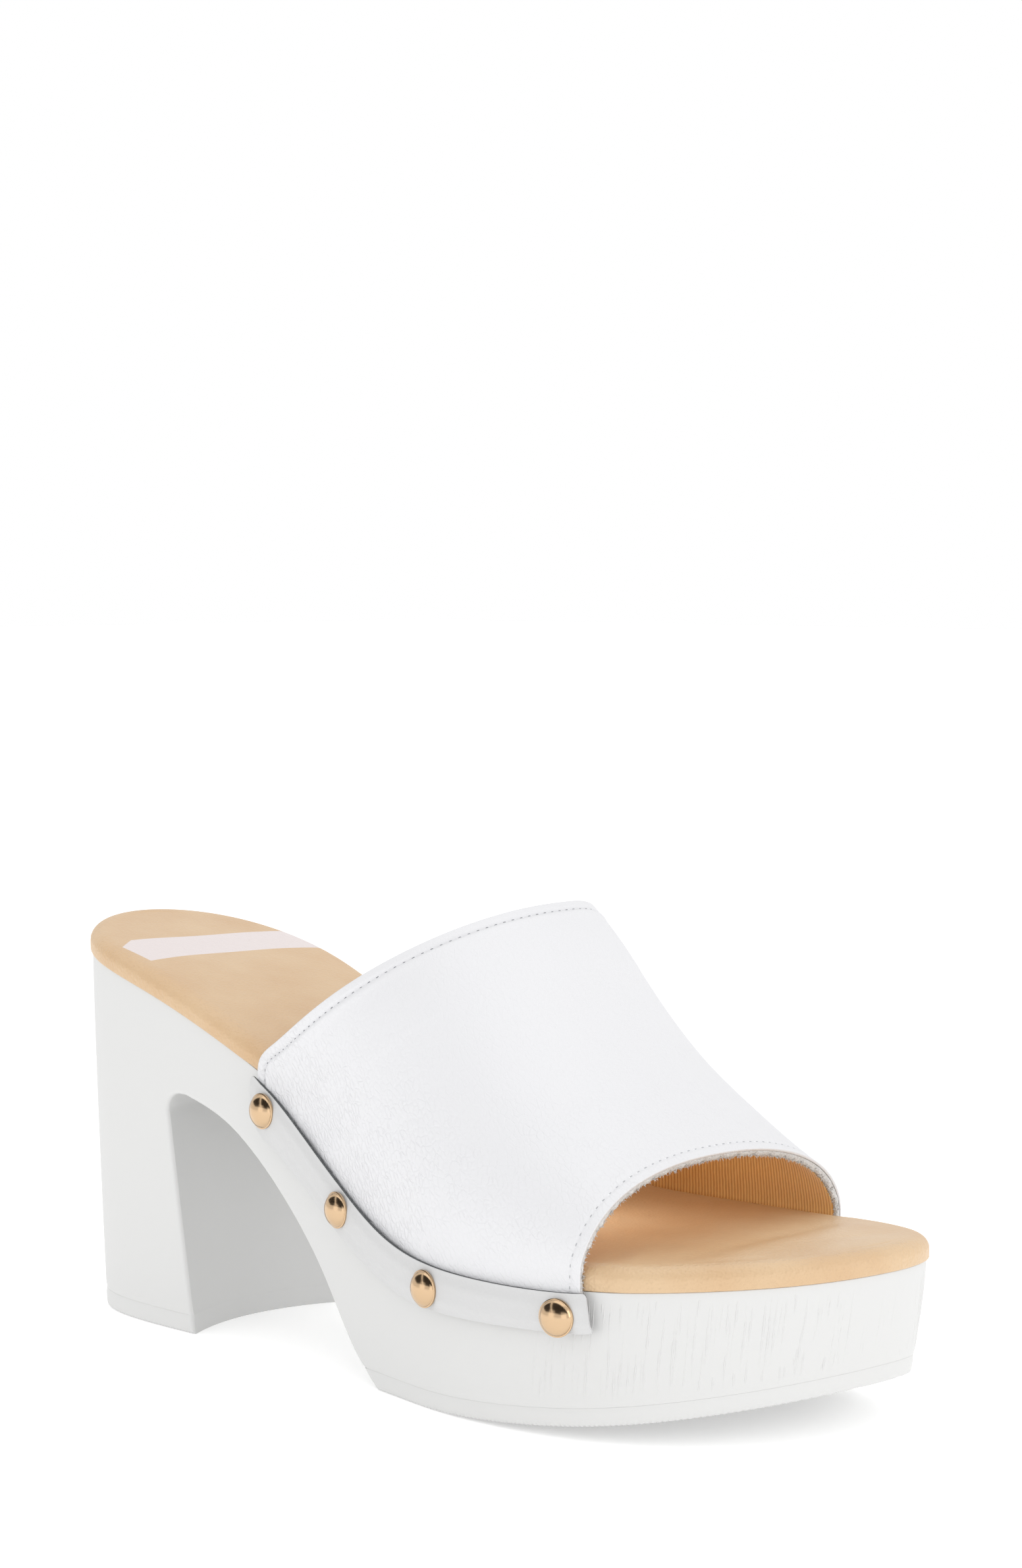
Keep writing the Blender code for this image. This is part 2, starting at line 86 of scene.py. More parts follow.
def spline(knots: Sequence[float], values: Sequence[float]) -> Curve:
    """Return a natural cubic through the points.

    Args:
        knots: Rising places of the points.
        values: Values at the points.

    Returns:
        A function of a number or an array, held level past both ends.
    """
    x = np.array(knots, dtype=float)
    y = np.array(values, dtype=float)
    step = np.diff(x)
    slope = np.diff(y) / step
    count = len(x)
    system = np.eye(count)
    right = np.zeros(count)
    for i in range(1, count - 1):
        system[i, i - 1:i + 2] = (step[i - 1], 2.0 * (step[i - 1] + step[i]), step[i])
        right[i] = 6.0 * (slope[i] - slope[i - 1])
    bend = np.linalg.solve(system, right)

    def curve(at: Any) -> Array:
        """Value of the cubic."""
        at = np.clip(np.asarray(at, dtype=float), x[0], x[-1])
        k = np.clip(np.searchsorted(x, at) - 1, 0, count - 2)
        a = (x[k + 1] - at) / step[k]
        b = (at - x[k]) / step[k]
        bow = ((a ** 3 - a) * bend[k] + (b ** 3 - b) * bend[k + 1]) * step[k] ** 2 / 6.0
        return a * y[k] + b * y[k + 1] + bow

    return curve


def ease(value: Any) -> Array:
    """Ease from 0 to 1 as the value does."""
    value = np.clip(value, 0.0, 1.0)
    return value * value * (3.0 - 2.0 * value)


def hump(distance: Any, width: float) -> Array:
    """A smooth bump, 1 at no distance and small past the width."""
    return np.exp(-(np.asarray(distance) / width) ** 2)


def rounding(distance: Any, radius: float) -> Array:
    """How far a rounded edge draws in at a distance from the edge."""
    short = np.clip(radius - np.asarray(distance), 0.0, radius)
    return radius - np.sqrt(radius ** 2 - short ** 2)


def spread(start: float, end: float, count: int, near_start: Sequence[float] = (),
           near_end: Sequence[float] = ()) -> Array:
    """Places along a line, with extra ones close to its ends.

    Args:
        start: First place.
        end: Last place.
        count: Number of even steps between the extra places.
        near_start: Rising distances from the start.
        near_end: Rising distances from the end.

    Returns:
        The places, from start to end.
    """
    sign = 1.0 if end > start else -1.0
    head = [start + sign * d for d in near_start]
    tail = [end - sign * d for d in reversed(near_end)]
    first = head[-1] if head else start
    last = tail[0] if tail else end
    middle = np.linspace(first, last, count + 1)
    return np.concatenate([head[:-1], middle, tail[1:]])


class MeshDraft:
    """Grids of points that are merged into one closed mesh."""

    def __init__(self) -> None:
        """Start with nothing."""
        self.points: list[Array] = []
        self.faces: list[tuple[int, ...]] = []
        self.slots: list[int] = []
        self.values: dict[str, list[Array]] = {}
        self.count = 0

    def grid(self, points: Array, slot: int = 0, **values: Array) -> None:
        """Add a grid of quads.

        Args:
            points: Rows and columns of points.
            slot: Material slot of the faces.
            values: Named numbers at the points.
        """
        rows, columns = points.shape[:2]
        self.points.append(points.reshape(-1, 3))
        index = np.arange(rows * columns).reshape(rows, columns) + self.count
        quads = np.stack([index[:-1, :-1], index[:-1, 1:], index[1:, 1:], index[1:, :-1]], axis=-1)
        quads = quads.reshape(-1, 4)
        self.faces.extend(map(tuple, quads.tolist()))
        self.slots.extend([slot] * len(quads))
        for name in set(self.values) | set(values):
            held = self.values.setdefault(name, [np.zeros(self.count)])
            given = values.get(name)
            held.append(np.zeros(rows * columns) if given is None else np.asarray(given).reshape(-1))
        self.count += rows * columns

    def mesh(self, name: str, sharp_degrees: float = 40.0) -> bpy.types.Mesh:
        """Merge the grids.

        Args:
            name: Name of the mesh.
            sharp_degrees: Angle past which an edge is shaded sharp.

        Returns:
            The merged mesh, its faces pointing outwards.
        """
        data = bpy.data.meshes.new(name)
        data.from_pydata(np.concatenate(self.points).tolist(), [], self.faces)
        data.polygons.foreach_set("material_index", self.slots)
        for key, parts in self.values.items():
            attribute = data.attributes.new(key, 'FLOAT', 'POINT')
            attribute.data.foreach_set("value", np.concatenate(parts))
        merged = bmesh.new()
        merged.from_mesh(data)
        bmesh.ops.remove_doubles(merged, verts=merged.verts, dist=MERGE)
        bmesh.ops.dissolve_degenerate(merged, edges=merged.edges, dist=MERGE / 4.0)
        bmesh.ops.recalc_face_normals(merged, faces=merged.faces)
        if merged.calc_volume(signed=True) < 0.0:
            bmesh.ops.reverse_faces(merged, faces=merged.faces)
        merged.to_mesh(data)
        merged.free()
        data.shade_smooth()
        data.set_sharp_from_angle(angle=math.radians(sharp_degrees))
        return data


def across(left: Array, right: Array, steps: int) -> Array:
    """Rows of points straight across from one line to another.

    Args:
        left: Points of the first line.
        right: Points of the second line, as many.
        steps: Number of steps across.

    Returns:
        A grid with one row for each pair of points.
    """
    share = np.linspace(0.0, 1.0, steps + 1)[None, :, None]
    return left[:, None, :] * (1.0 - share) + right[:, None, :] * share


def grid_normals(points: Array) -> Array:
    """Unit normals of a grid, along row direction x column direction."""
    down = np.gradient(points, axis=0)
    along = np.gradient(points, axis=1)
    normal = np.cross(down, along)
    length = np.linalg.norm(normal, axis=-1, keepdims=True)
    return normal / np.maximum(length, 1e-12)


def add_piece(name: str, mesh: bpy.types.Mesh, materials: Sequence[bpy.types.Material],
              nodes: Sequence[str] = ()) -> bpy.types.Object:
    """Put a finished mesh in the scene, on the shoe's body.

    Args:
        name: Name of the piece.
        mesh: Its mesh, in the shoe's frame.
        materials: Its materials, in slot order.
        nodes: The solids that it stands for.

    Returns:
        The object.
    """
    if not mesh.materials:
        for material in materials:
            mesh.materials.append(material)
    piece = bpy.data.objects.new(name, mesh)
    bpy.context.scene.collection.objects.link(piece)
    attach(piece, "root")
    if nodes:
        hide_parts(*nodes)
    log.info("%s: %d faces", name, len(mesh.polygons))
    return piece


def grow_along(tree: bpy.types.NodeTree, name: str, lines: Sequence[Array], outward: Sequence[Array],
               given: dict[str, Any], **values: Sequence[Array]) -> bpy.types.Mesh:
    """Run a Geometry Nodes tree on lines of points.

    Args:
        tree: The tree, whose first input is the lines.
        name: Name of the mesh.
        lines: Points of each line.
        outward: Directions out of the surface at the points.
        given: The tree's inputs by name.
        values: Further named numbers at the points of each line.

    Returns:
        The result as a plain mesh.
    """
    data = bpy.data.meshes.new(f"{name}_lines")
    starts = np.cumsum([0] + [len(line) for line in lines])
    edges = [(start + i, start + i + 1) for start, line in zip(starts, lines) for i in range(len(line) - 1)]
    data.from_pydata(np.concatenate(lines).tolist(), edges, [])
    attribute = data.attributes.new("outward", 'FLOAT_VECTOR', 'POINT')
    attribute.data.foreach_set("vector", np.concatenate(outward).astype(float).ravel())
    for key, parts in values.items():
        attribute = data.attributes.new(key, 'FLOAT', 'POINT')
        attribute.data.foreach_set("value", np.concatenate(parts))
    holder = bpy.data.objects.new(f"{name}_holder", data)
    bpy.context.scene.collection.objects.link(holder)
    modifier = holder.modifiers.new("grow", 'NODES')
    modifier.node_group = tree
    for item in tree.interface.items_tree:
        if item.item_type == 'SOCKET' and item.in_out == 'INPUT' and item.name in given:
            modifier[item.identifier] = given[item.name]
    graph = bpy.context.evaluated_depsgraph_get()
    mesh = bpy.data.meshes.new_from_object(holder.evaluated_get(graph), depsgraph=graph)
    holder.modifiers.remove(modifier)
    bpy.data.objects.remove(holder)
    bpy.data.meshes.remove(data)
    mesh.name = name
    mesh.shade_smooth()
    return mesh


def start_tree(name: str, inputs: dict[str, str]) -> tuple[bpy.types.NodeTree, Any]:
    """Start a Geometry Nodes tree that turns lines into a dressed mesh.

    Args:
        name: Name of the tree.
        inputs: Its further inputs by name, with the kind of each.

    Returns:
        The tree and the outputs of its input node.
    """
    tree = bpy.data.node_groups.new(name, 'GeometryNodeTree')
    for socket, kind in {"Line": "Geometry", **inputs, "Finish": "Material"}.items():
        tree.interface.new_socket(socket, in_out='INPUT', socket_type=f"NodeSocket{kind}")
    tree.interface.new_socket("Mesh", in_out='OUTPUT', socket_type="NodeSocketGeometry")
    return tree, add_node(tree, "NodeGroupInput").outputs


def end_tree(tree: bpy.types.NodeTree, made: bpy.types.Node, given: Any) -> bpy.types.NodeTree:
    """Make what a tree holds real, give it its finish and return the tree."""
    real = add_node(tree, "GeometryNodeRealizeInstances", {0: made.outputs[0]})
    dressed = add_node(tree, "GeometryNodeSetMaterial", {0: real.outputs[0], "Material": given["Finish"]})
    add_node(tree, "NodeGroupOutput", {0: dressed.outputs[0]})
    return tree


# Nodes and colours


def linear(hex_colour: str) -> tuple[float, float, float, float]:
    """Turn an sRGB hex colour into linear RGBA."""
    parts = [int(hex_colour[i:i + 2], 16) / 255.0 for i in (1, 3, 5)]
    red, green, blue = (p / 12.92 if p <= 0.04045 else ((p + 0.055) / 1.055) ** 2.4 for p in parts)
    return red, green, blue, 1.0


def add_node(tree: bpy.types.NodeTree, kind: str, sockets: dict[Any, Any] | None = None,
             **settings: Any) -> bpy.types.Node:
    """Add a node to a tree.

    Args:
        tree: The node tree.
        kind: Blender's name of the node's type.
        sockets: Values or output sockets for the node's inputs, by name or number.
        settings: The node's own settings.

    Returns:
        The node.
    """
    made = tree.nodes.new(kind)
    for key, value in settings.items():
        setattr(made, key, value)
    for key, value in (sockets or {}).items():
        if isinstance(value, bpy.types.NodeSocket):
            tree.links.new(value, made.inputs[key])
        else:
            made.inputs[key].default_value = value
    return made


@dataclass(frozen=True)
class Finish:
    """A material: what it is made of, and what that gives the eye."""
    name: str
    colour: str
    roughness: float
    ior: float = 1.5
    specular: float = 0.5
    metallic: float = 0.0
    sheen: float = 0.0

    def build(self) -> bpy.types.Material:
        """Make the material and let the finish dress it."""
        material = bpy.data.materials.new(self.name)
        material.use_nodes = True
        tree = material.node_tree
        shader = tree.nodes["Principled BSDF"]
        shader.inputs["Base Color"].default_value = linear(self.colour)
        shader.inputs["Roughness"].default_value = self.roughness
        shader.inputs["IOR"].default_value = self.ior
        shader.inputs["Specular IOR Level"].default_value = self.specular
        shader.inputs["Metallic"].default_value = self.metallic
        if self.sheen > 0.0:
            shader.inputs["Sheen Weight"].default_value = self.sheen
            shader.inputs["Sheen Roughness"].default_value = 0.5
        self.dress(tree, shader)
        return material

    def dress(self, tree: bpy.types.NodeTree, shader: bpy.types.Node) -> None:
        """Add the finish's pattern; a plain finish adds none."""

    @staticmethod
    def place(tree: bpy.types.NodeTree) -> bpy.types.NodeSocket:
        """The object's coordinates, in metres."""
        return add_node(tree, "ShaderNodeTexCoord").outputs["Object"]

    @staticmethod
    def relief(tree: bpy.types.NodeTree, shader: bpy.types.Node, height: bpy.types.NodeSocket,
               depth: float, strength: float = 1.0) -> None:
        """Raise a pattern of 0 to 1 by a real depth in metres."""
        bump = add_node(tree, "ShaderNodeBump", {"Height": height, "Distance": depth, "Strength": strength})
        tree.links.new(bump.outputs["Normal"], shader.inputs["Normal"])


@dataclass(frozen=True)
class MouldedSole(Finish):
    """Polyurethane foam moulded in a tool cut like wood: matt, warm white, with raised grain."""
    name: str = "moulded polyurethane"
    colour: str = "#CECECD"
    roughness: float = 0.52
    skin: float = 1.1 * MM
    skin_depth: float = 0.03 * MM

    def dress(self, tree: bpy.types.NodeTree, shader: bpy.types.Node) -> None:
        """Give it the fine skin of a moulding; the strokes of the wood grain are real ridges."""
        skin = add_node(tree, "ShaderNodeTexNoise",
                        {"Vector": self.place(tree), "Scale": 1.0 / self.skin, "Detail": 2.0})
        self.relief(tree, shader, skin.outputs[0], self.skin_depth, 0.6)


@dataclass(frozen=True)
class TreadRubber(MouldedSole):
    """Thermoplastic rubber moulded smooth: the foam's colour, with a little more shine and a finer skin."""
    name: str = "moulded tread rubber"
    roughness: float = 0.50
    skin: float = 0.909 * MM


@dataclass(frozen=True)
class InsoleLeather(Finish):
    """Tan lining leather over foam: a soft satin sheen, fine pebble, a pale blank stamp at the heel."""
    name: str = "tan insole leather"
    colour: str = "#CEB18D"
    deep_colour: str = "#C29D74"
    band_colour: str = "#DBD3D4"
    roughness: float = 0.42
    pebble: float = 0.65 * MM
    pebble_depth: float = 0.22 * MM
    fold: float = 2.38 * MM             # fine folds between the pebbles
    drift: float = 22.2 * MM           # patches of deeper colour
    band_fade: float = 0.18             # millimetres over which the stamp's edge fades
    band_rear: tuple[float, float, float] = (1.2, 0.080, -3.95 * MM)    # x = (a y + b) y + c
    band_front: tuple[float, float, float] = (2.2, 0.055, 9.85 * MM)
    band_end: float = -27.3 * MM
    band_far_end: float = 29.5 * MM     # where the insole's edge starts to roll
    band_corner: tuple[float, float] = (-5.1 * MM, -21.1 * MM)          # its cut corner starts here
    band_corner_slope: float = 0.635

    def band(self, tree: bpy.types.NodeTree, here: bpy.types.NodeSocket) -> bpy.types.NodeSocket:
        """Return how far inside the blank stamp a point lies, in millimetres, from its bowed outline."""
        axes = add_node(tree, "ShaderNodeSeparateXYZ", {0: here}).outputs
        insides = []
        for (bow, slope, start), sign in ((self.band_rear, 1.0), (self.band_front, -1.0)):
            rate = add_node(tree, "ShaderNodeMath", {0: axes[1], 1: bow, 2: slope},
                            operation='MULTIPLY_ADD')
            line = add_node(tree, "ShaderNodeMath", {0: axes[1], 1: rate.outputs[0], 2: start},
                            operation='MULTIPLY_ADD')
            past = add_node(tree, "ShaderNodeMath", {0: axes[0], 1: line.outputs[0]}, operation='SUBTRACT')
            insides.append(add_node(tree, "ShaderNodeMath", {0: past.outputs[0], 1: sign},
                                    operation='MULTIPLY').outputs[0])
        insides.append(add_node(tree, "ShaderNodeMath", {0: axes[1], 1: self.band_end},
                                operation='SUBTRACT').outputs[0])
        insides.append(add_node(tree, "ShaderNodeMath", {0: self.band_far_end, 1: axes[1]},
                                operation='SUBTRACT').outputs[0])
        corner_x, corner_y = self.band_corner
        slope = self.band_corner_slope
        cut = add_node(tree, "ShaderNodeMath", {0: axes[1], 1: slope, 2: -corner_x - corner_y * slope},
                       operation='MULTIPLY_ADD')
        insides.append(add_node(tree, "ShaderNodeMath", {0: axes[0], 1: cut.outputs[0]}).outputs[0])
        least = insides[0]
        for inside in insides[1:]:
            least = add_node(tree, "ShaderNodeMath", {0: least, 1: inside}, operation='MINIMUM').outputs[0]
        return add_node(tree, "ShaderNodeMath", {0: least, 1: 1.0 / MM}, operation='MULTIPLY').outputs[0]

    def dress(self, tree: bpy.types.NodeTree, shader: bpy.types.Node) -> None:
        """Add pebble, a slow drift of colour and the pale band."""
        here = self.place(tree)
        drift = add_node(tree, "ShaderNodeTexNoise",
                         {"Vector": here, "Scale": 1.0 / self.drift, "Detail": 3.0})
        tint = add_node(tree, "ShaderNodeMapRange", {0: drift.outputs[0], 1: 0.35, 2: 0.7, 3: 0.0, 4: 0.6})
        tan = add_node(tree, "ShaderNodeMix", {"Factor": tint.outputs[0], 6: linear(self.colour),
                                               7: linear(self.deep_colour)}, data_type='RGBA')
        stamp = add_node(tree, "ShaderNodeMapRange",
                         {0: self.band(tree, here), 1: 0.0, 2: self.band_fade, 3: 0.0, 4: 0.9})
        mixed = add_node(tree, "ShaderNodeMix", {"Factor": stamp.outputs[0], 6: tan.outputs[2],
                                                 7: linear(self.band_colour)}, data_type='RGBA')
        tree.links.new(mixed.outputs[2], shader.inputs["Base Color"])
        cells = add_node(tree, "ShaderNodeTexVoronoi",
                         {"Vector": here, "Scale": 1.0 / self.pebble, "Randomness": 1.0},
                         feature='SMOOTH_F1')
        folds = add_node(tree, "ShaderNodeTexNoise",
                         {"Vector": here, "Scale": 1.0 / self.fold, "Detail": 3.0, "Distortion": 0.6})
        both = add_node(tree, "ShaderNodeMath", {0: folds.outputs[0], 1: 1.2, 2: cells.outputs[0]},
                        operation='MULTIPLY_ADD')
        roll = add_node(tree, "ShaderNodeAttribute", attribute_name="roll")
        deep = add_node(tree, "ShaderNodeMath", {0: both.outputs[0], 1: roll.outputs["Fac"]},
                        operation='MULTIPLY')
        self.relief(tree, shader, deep.outputs[0], self.pebble_depth, 0.8)


@dataclass(frozen=True)
class PebbledLeather(Finish):
    """Full-grain cow leather, pigmented white: a satin skin with a fine pebble drawn out down the slope."""
    name: str = "white pebbled leather"
    colour: str = "#D6D6D8"
    roughness: float = 0.42
    pebble: float = 1.35 * MM
    pebble_long: float = 1.8            # how many times longer than wide
    slope_degrees: float = 58.0         # way of the long side: forward and down
    pebble_depth: float = 0.115 * MM
    waver: float = 3.03 * MM            # size of the bends in the creases
    patch: float = 6.25 * MM            # size of the patches where the pebble is weaker
    pore: float = 0.667 * MM

    def dress(self, tree: bpy.types.NodeTree, shader: bpy.types.Node) -> None:
        """Draw the fine creases between the pebbles, as deep as the point's own grain says."""
        here = self.place(tree)
        bent = add_node(tree, "ShaderNodeTexNoise",
                         {"Vector": here, "Scale": 1.0 / self.waver, "Detail": 2.0})
        centred = add_node(tree, "ShaderNodeVectorMath", {0: bent.outputs["Color"], 1: (0.5, 0.5, 0.5)},
                           operation='SUBTRACT')
        shift = add_node(tree, "ShaderNodeVectorMath",
                         {0: centred.outputs[0], 1: (self.pebble, self.pebble, self.pebble), 2: here},
                         operation='MULTIPLY_ADD')
        drawn = add_node(tree, "ShaderNodeMapping",
                         {"Vector": shift.outputs[0],
                          "Rotation": (0.0, math.radians(self.slope_degrees), 0.0),
                          "Scale": (self.pebble * self.pebble_long, self.pebble, self.pebble)},
                         vector_type='TEXTURE')
        cells = add_node(tree, "ShaderNodeTexVoronoi", {"Vector": drawn.outputs[0], "Scale": 1.0},
                         feature='DISTANCE_TO_EDGE')
        crease = add_node(tree, "ShaderNodeMapRange", {0: cells.outputs[0], 1: 0.0, 2: 0.18},
                          interpolation_type='SMOOTHSTEP')
        swell = add_node(tree, "ShaderNodeTexNoise",
                         {"Vector": drawn.outputs[0], "Scale": 0.9, "Detail": 3.0})
        both = add_node(tree, "ShaderNodeMath", {0: swell.outputs[0], 1: 1.4, 2: crease.outputs[0]},
                        operation='MULTIPLY_ADD')
        patch = add_node(tree, "ShaderNodeTexNoise",
                         {"Vector": here, "Scale": 1.0 / self.patch, "Detail": 2.0})
        uneven = add_node(tree, "ShaderNodeMapRange",
                          {0: patch.outputs[0], 1: 0.35, 2: 0.65, 3: 0.6, 4: 1.0})
        grain = add_node(tree, "ShaderNodeAttribute", attribute_name="grain")
        deep = add_node(tree, "ShaderNodeMath", {0: uneven.outputs[0], 1: grain.outputs["Fac"]},
                        operation='MULTIPLY')
        raised = add_node(tree, "ShaderNodeMath", {0: both.outputs[0], 1: deep.outputs[0]},
                          operation='MULTIPLY')
        pores = add_node(tree, "ShaderNodeTexNoise",
                         {"Vector": here, "Scale": 1.0 / self.pore, "Detail": 2.0})
        whole = add_node(tree, "ShaderNodeMath", {0: pores.outputs[0], 1: 0.12, 2: raised.outputs[0]},
                         operation='MULTIPLY_ADD')
        self.relief(tree, shader, whole.outputs[0], self.pebble_depth, 0.9)


@dataclass(frozen=True)
class RawEdge(Finish):
    """Cut fibres of split leather or cloth: dull and fuzzy, with no shine."""
    name: str = "raw leather fibre"
    colour: str = "#E6E5E4"
    dark_colour: str = "#C6C4C2"
    roughness: float = 0.95
    specular: float = 0.1
    fuzz: float = 0.5 * MM
    fuzz_depth: float = 0.4 * MM

    def dress(self, tree: bpy.types.NodeTree, shader: bpy.types.Node) -> None:
        """Mottle the colour and roughen the surface at the size of the fibre bundles."""
        here = self.place(tree)
        clumps = add_node(tree, "ShaderNodeTexNoise",
                          {"Vector": here, "Scale": 1.0 / self.fuzz, "Detail": 4.0, "Roughness": 0.7})
        tint = add_node(tree, "ShaderNodeMapRange", {0: clumps.outputs[0], 1: 0.35, 2: 0.65})
        mixed = add_node(tree, "ShaderNodeMix", {"Factor": tint.outputs[0], 6: linear(self.dark_colour),
                                                 7: linear(self.colour)}, data_type='RGBA')
        tree.links.new(mixed.outputs[2], shader.inputs["Base Color"])
        self.relief(tree, shader, clumps.outputs[0], self.fuzz_depth)


@dataclass(frozen=True)
class TwillLining(Finish):
    """Cotton twill bonded inside the upper: matt tan yarns in ribs that cross the foot aslant."""
    name: str = "tan cotton twill"
    colour: str = "#FCD28C"
    # darker tan for the grooves between ribs: painted shade
    groove_colour: str = "#D5A060"
    roughness: float = 0.9
    specular: float = 0.2
    sheen: float = 0.3
    rib: float = 0.78 * MM
    rib_depth: float = 0.13 * MM
    bias_degrees: float = 26.0          # of the ribs to the shoe's length, seen from above

    def dress(self, tree: bpy.types.NodeTree, shader: bpy.types.Node) -> None:
        """Raise the ribs and paint shade into the grooves between them."""
        here = self.place(tree)
        turned = add_node(tree, "ShaderNodeMapping",
                          {"Vector": here, "Rotation": (0.0, 0.0, math.radians(self.bias_degrees)),
                           "Scale": (self.rib, self.rib, self.rib * 2.5)}, vector_type='TEXTURE')
        # the node draws 20 / (2 pi) bands to a unit
        ribs = add_node(tree, "ShaderNodeTexWave",
                        {"Vector": turned.outputs[0], "Scale": 2.0 * math.pi / 20.0, "Distortion": 0.9,
                         "Detail": 2.0, "Detail Scale": 3.0}, bands_direction='X')
        # the grooves take the darker colour: painted shade
        mixed = add_node(tree, "ShaderNodeMix",
                         {"Factor": ribs.outputs["Fac"], 6: linear(self.groove_colour),
                          7: linear(self.colour)}, data_type='RGBA')
        tree.links.new(mixed.outputs[2], shader.inputs["Base Color"])
        self.relief(tree, shader, ribs.outputs["Fac"], self.rib_depth, 0.8)


@dataclass(frozen=True)
class StageFloor(Finish):
    """Matt white translucent paper: bright all over, its shadows pale."""
    name: str = "white paper sweep"
    colour: str = "#FFFFFF"
    roughness: float = 0.9
    specular: float = 0.1
    glow: float = 0.24

    def dress(self, tree: bpy.types.NodeTree, shader: bpy.types.Node) -> None:
        """Light it from behind a little, as a translucent sweep is."""
        shader.inputs["Emission Color"].default_value = linear(self.colour)
        shader.inputs["Emission Strength"].default_value = self.glow


@dataclass(frozen=True)
class Finishes:
    """Every finish of the shoe, built once."""
    sole: bpy.types.Material
    tread: bpy.types.Material
    insole: bpy.types.Material
    leather: bpy.types.Material
    strip: bpy.types.Material
    raw_edge: bpy.types.Material
    cut_edge: bpy.types.Material
    twill: bpy.types.Material
    thread: bpy.types.Material
    hole: bpy.types.Material
    shallow_hole: bpy.types.Material
    gold: bpy.types.Material
    floor: bpy.types.Material
    card: bpy.types.Material

    @classmethod
    def build(cls) -> "Finishes":
        """Build all of them."""
        return cls(
            sole=MouldedSole().build(),
            tread=TreadRubber().build(),
            insole=InsoleLeather().build(),
            leather=PebbledLeather().build(),
            strip=PebbledLeather(name="white smooth leather", colour="#C4C4C4",
                                 pebble_depth=0.05 * MM).build(),
            raw_edge=RawEdge().build(),
            # the cut edge's dark grey is partly dye and partly painted shade of the narrow gap between strip
            # and vamp
            cut_edge=RawEdge(name="dyed cut leather edge", colour="#77797A", dark_colour="#505253").build(),
            twill=TwillLining().build(),
            # bonded polyester sewing thread: bright white with a slight shine
            thread=Finish("white polyester thread", "#E6E6E8", 0.45).build(),
            # the inside of a needle hole: dark because hardly any light gets in
            hole=Finish("needle hole", "#7E8084", 0.9, specular=0.1).build(),
            # pricked but hardly open: painted shade, only a little darker than the leather
            shallow_hole=Finish("shallow needle hole", "#ABACAF", 0.9, specular=0.1).build(),
            # brass, turned, polished and pale gold plated: a mirror with a warm tint
            gold=Finish("pale gold plated brass", "#CBAE8C", 0.18, metallic=1.0).build(),
            floor=StageFloor().build(),
            # black flock card: takes light away from polished metal
            card=Finish("black flock card", "#2C2A29", 0.95, specular=0.1).build(),
        )


# The last


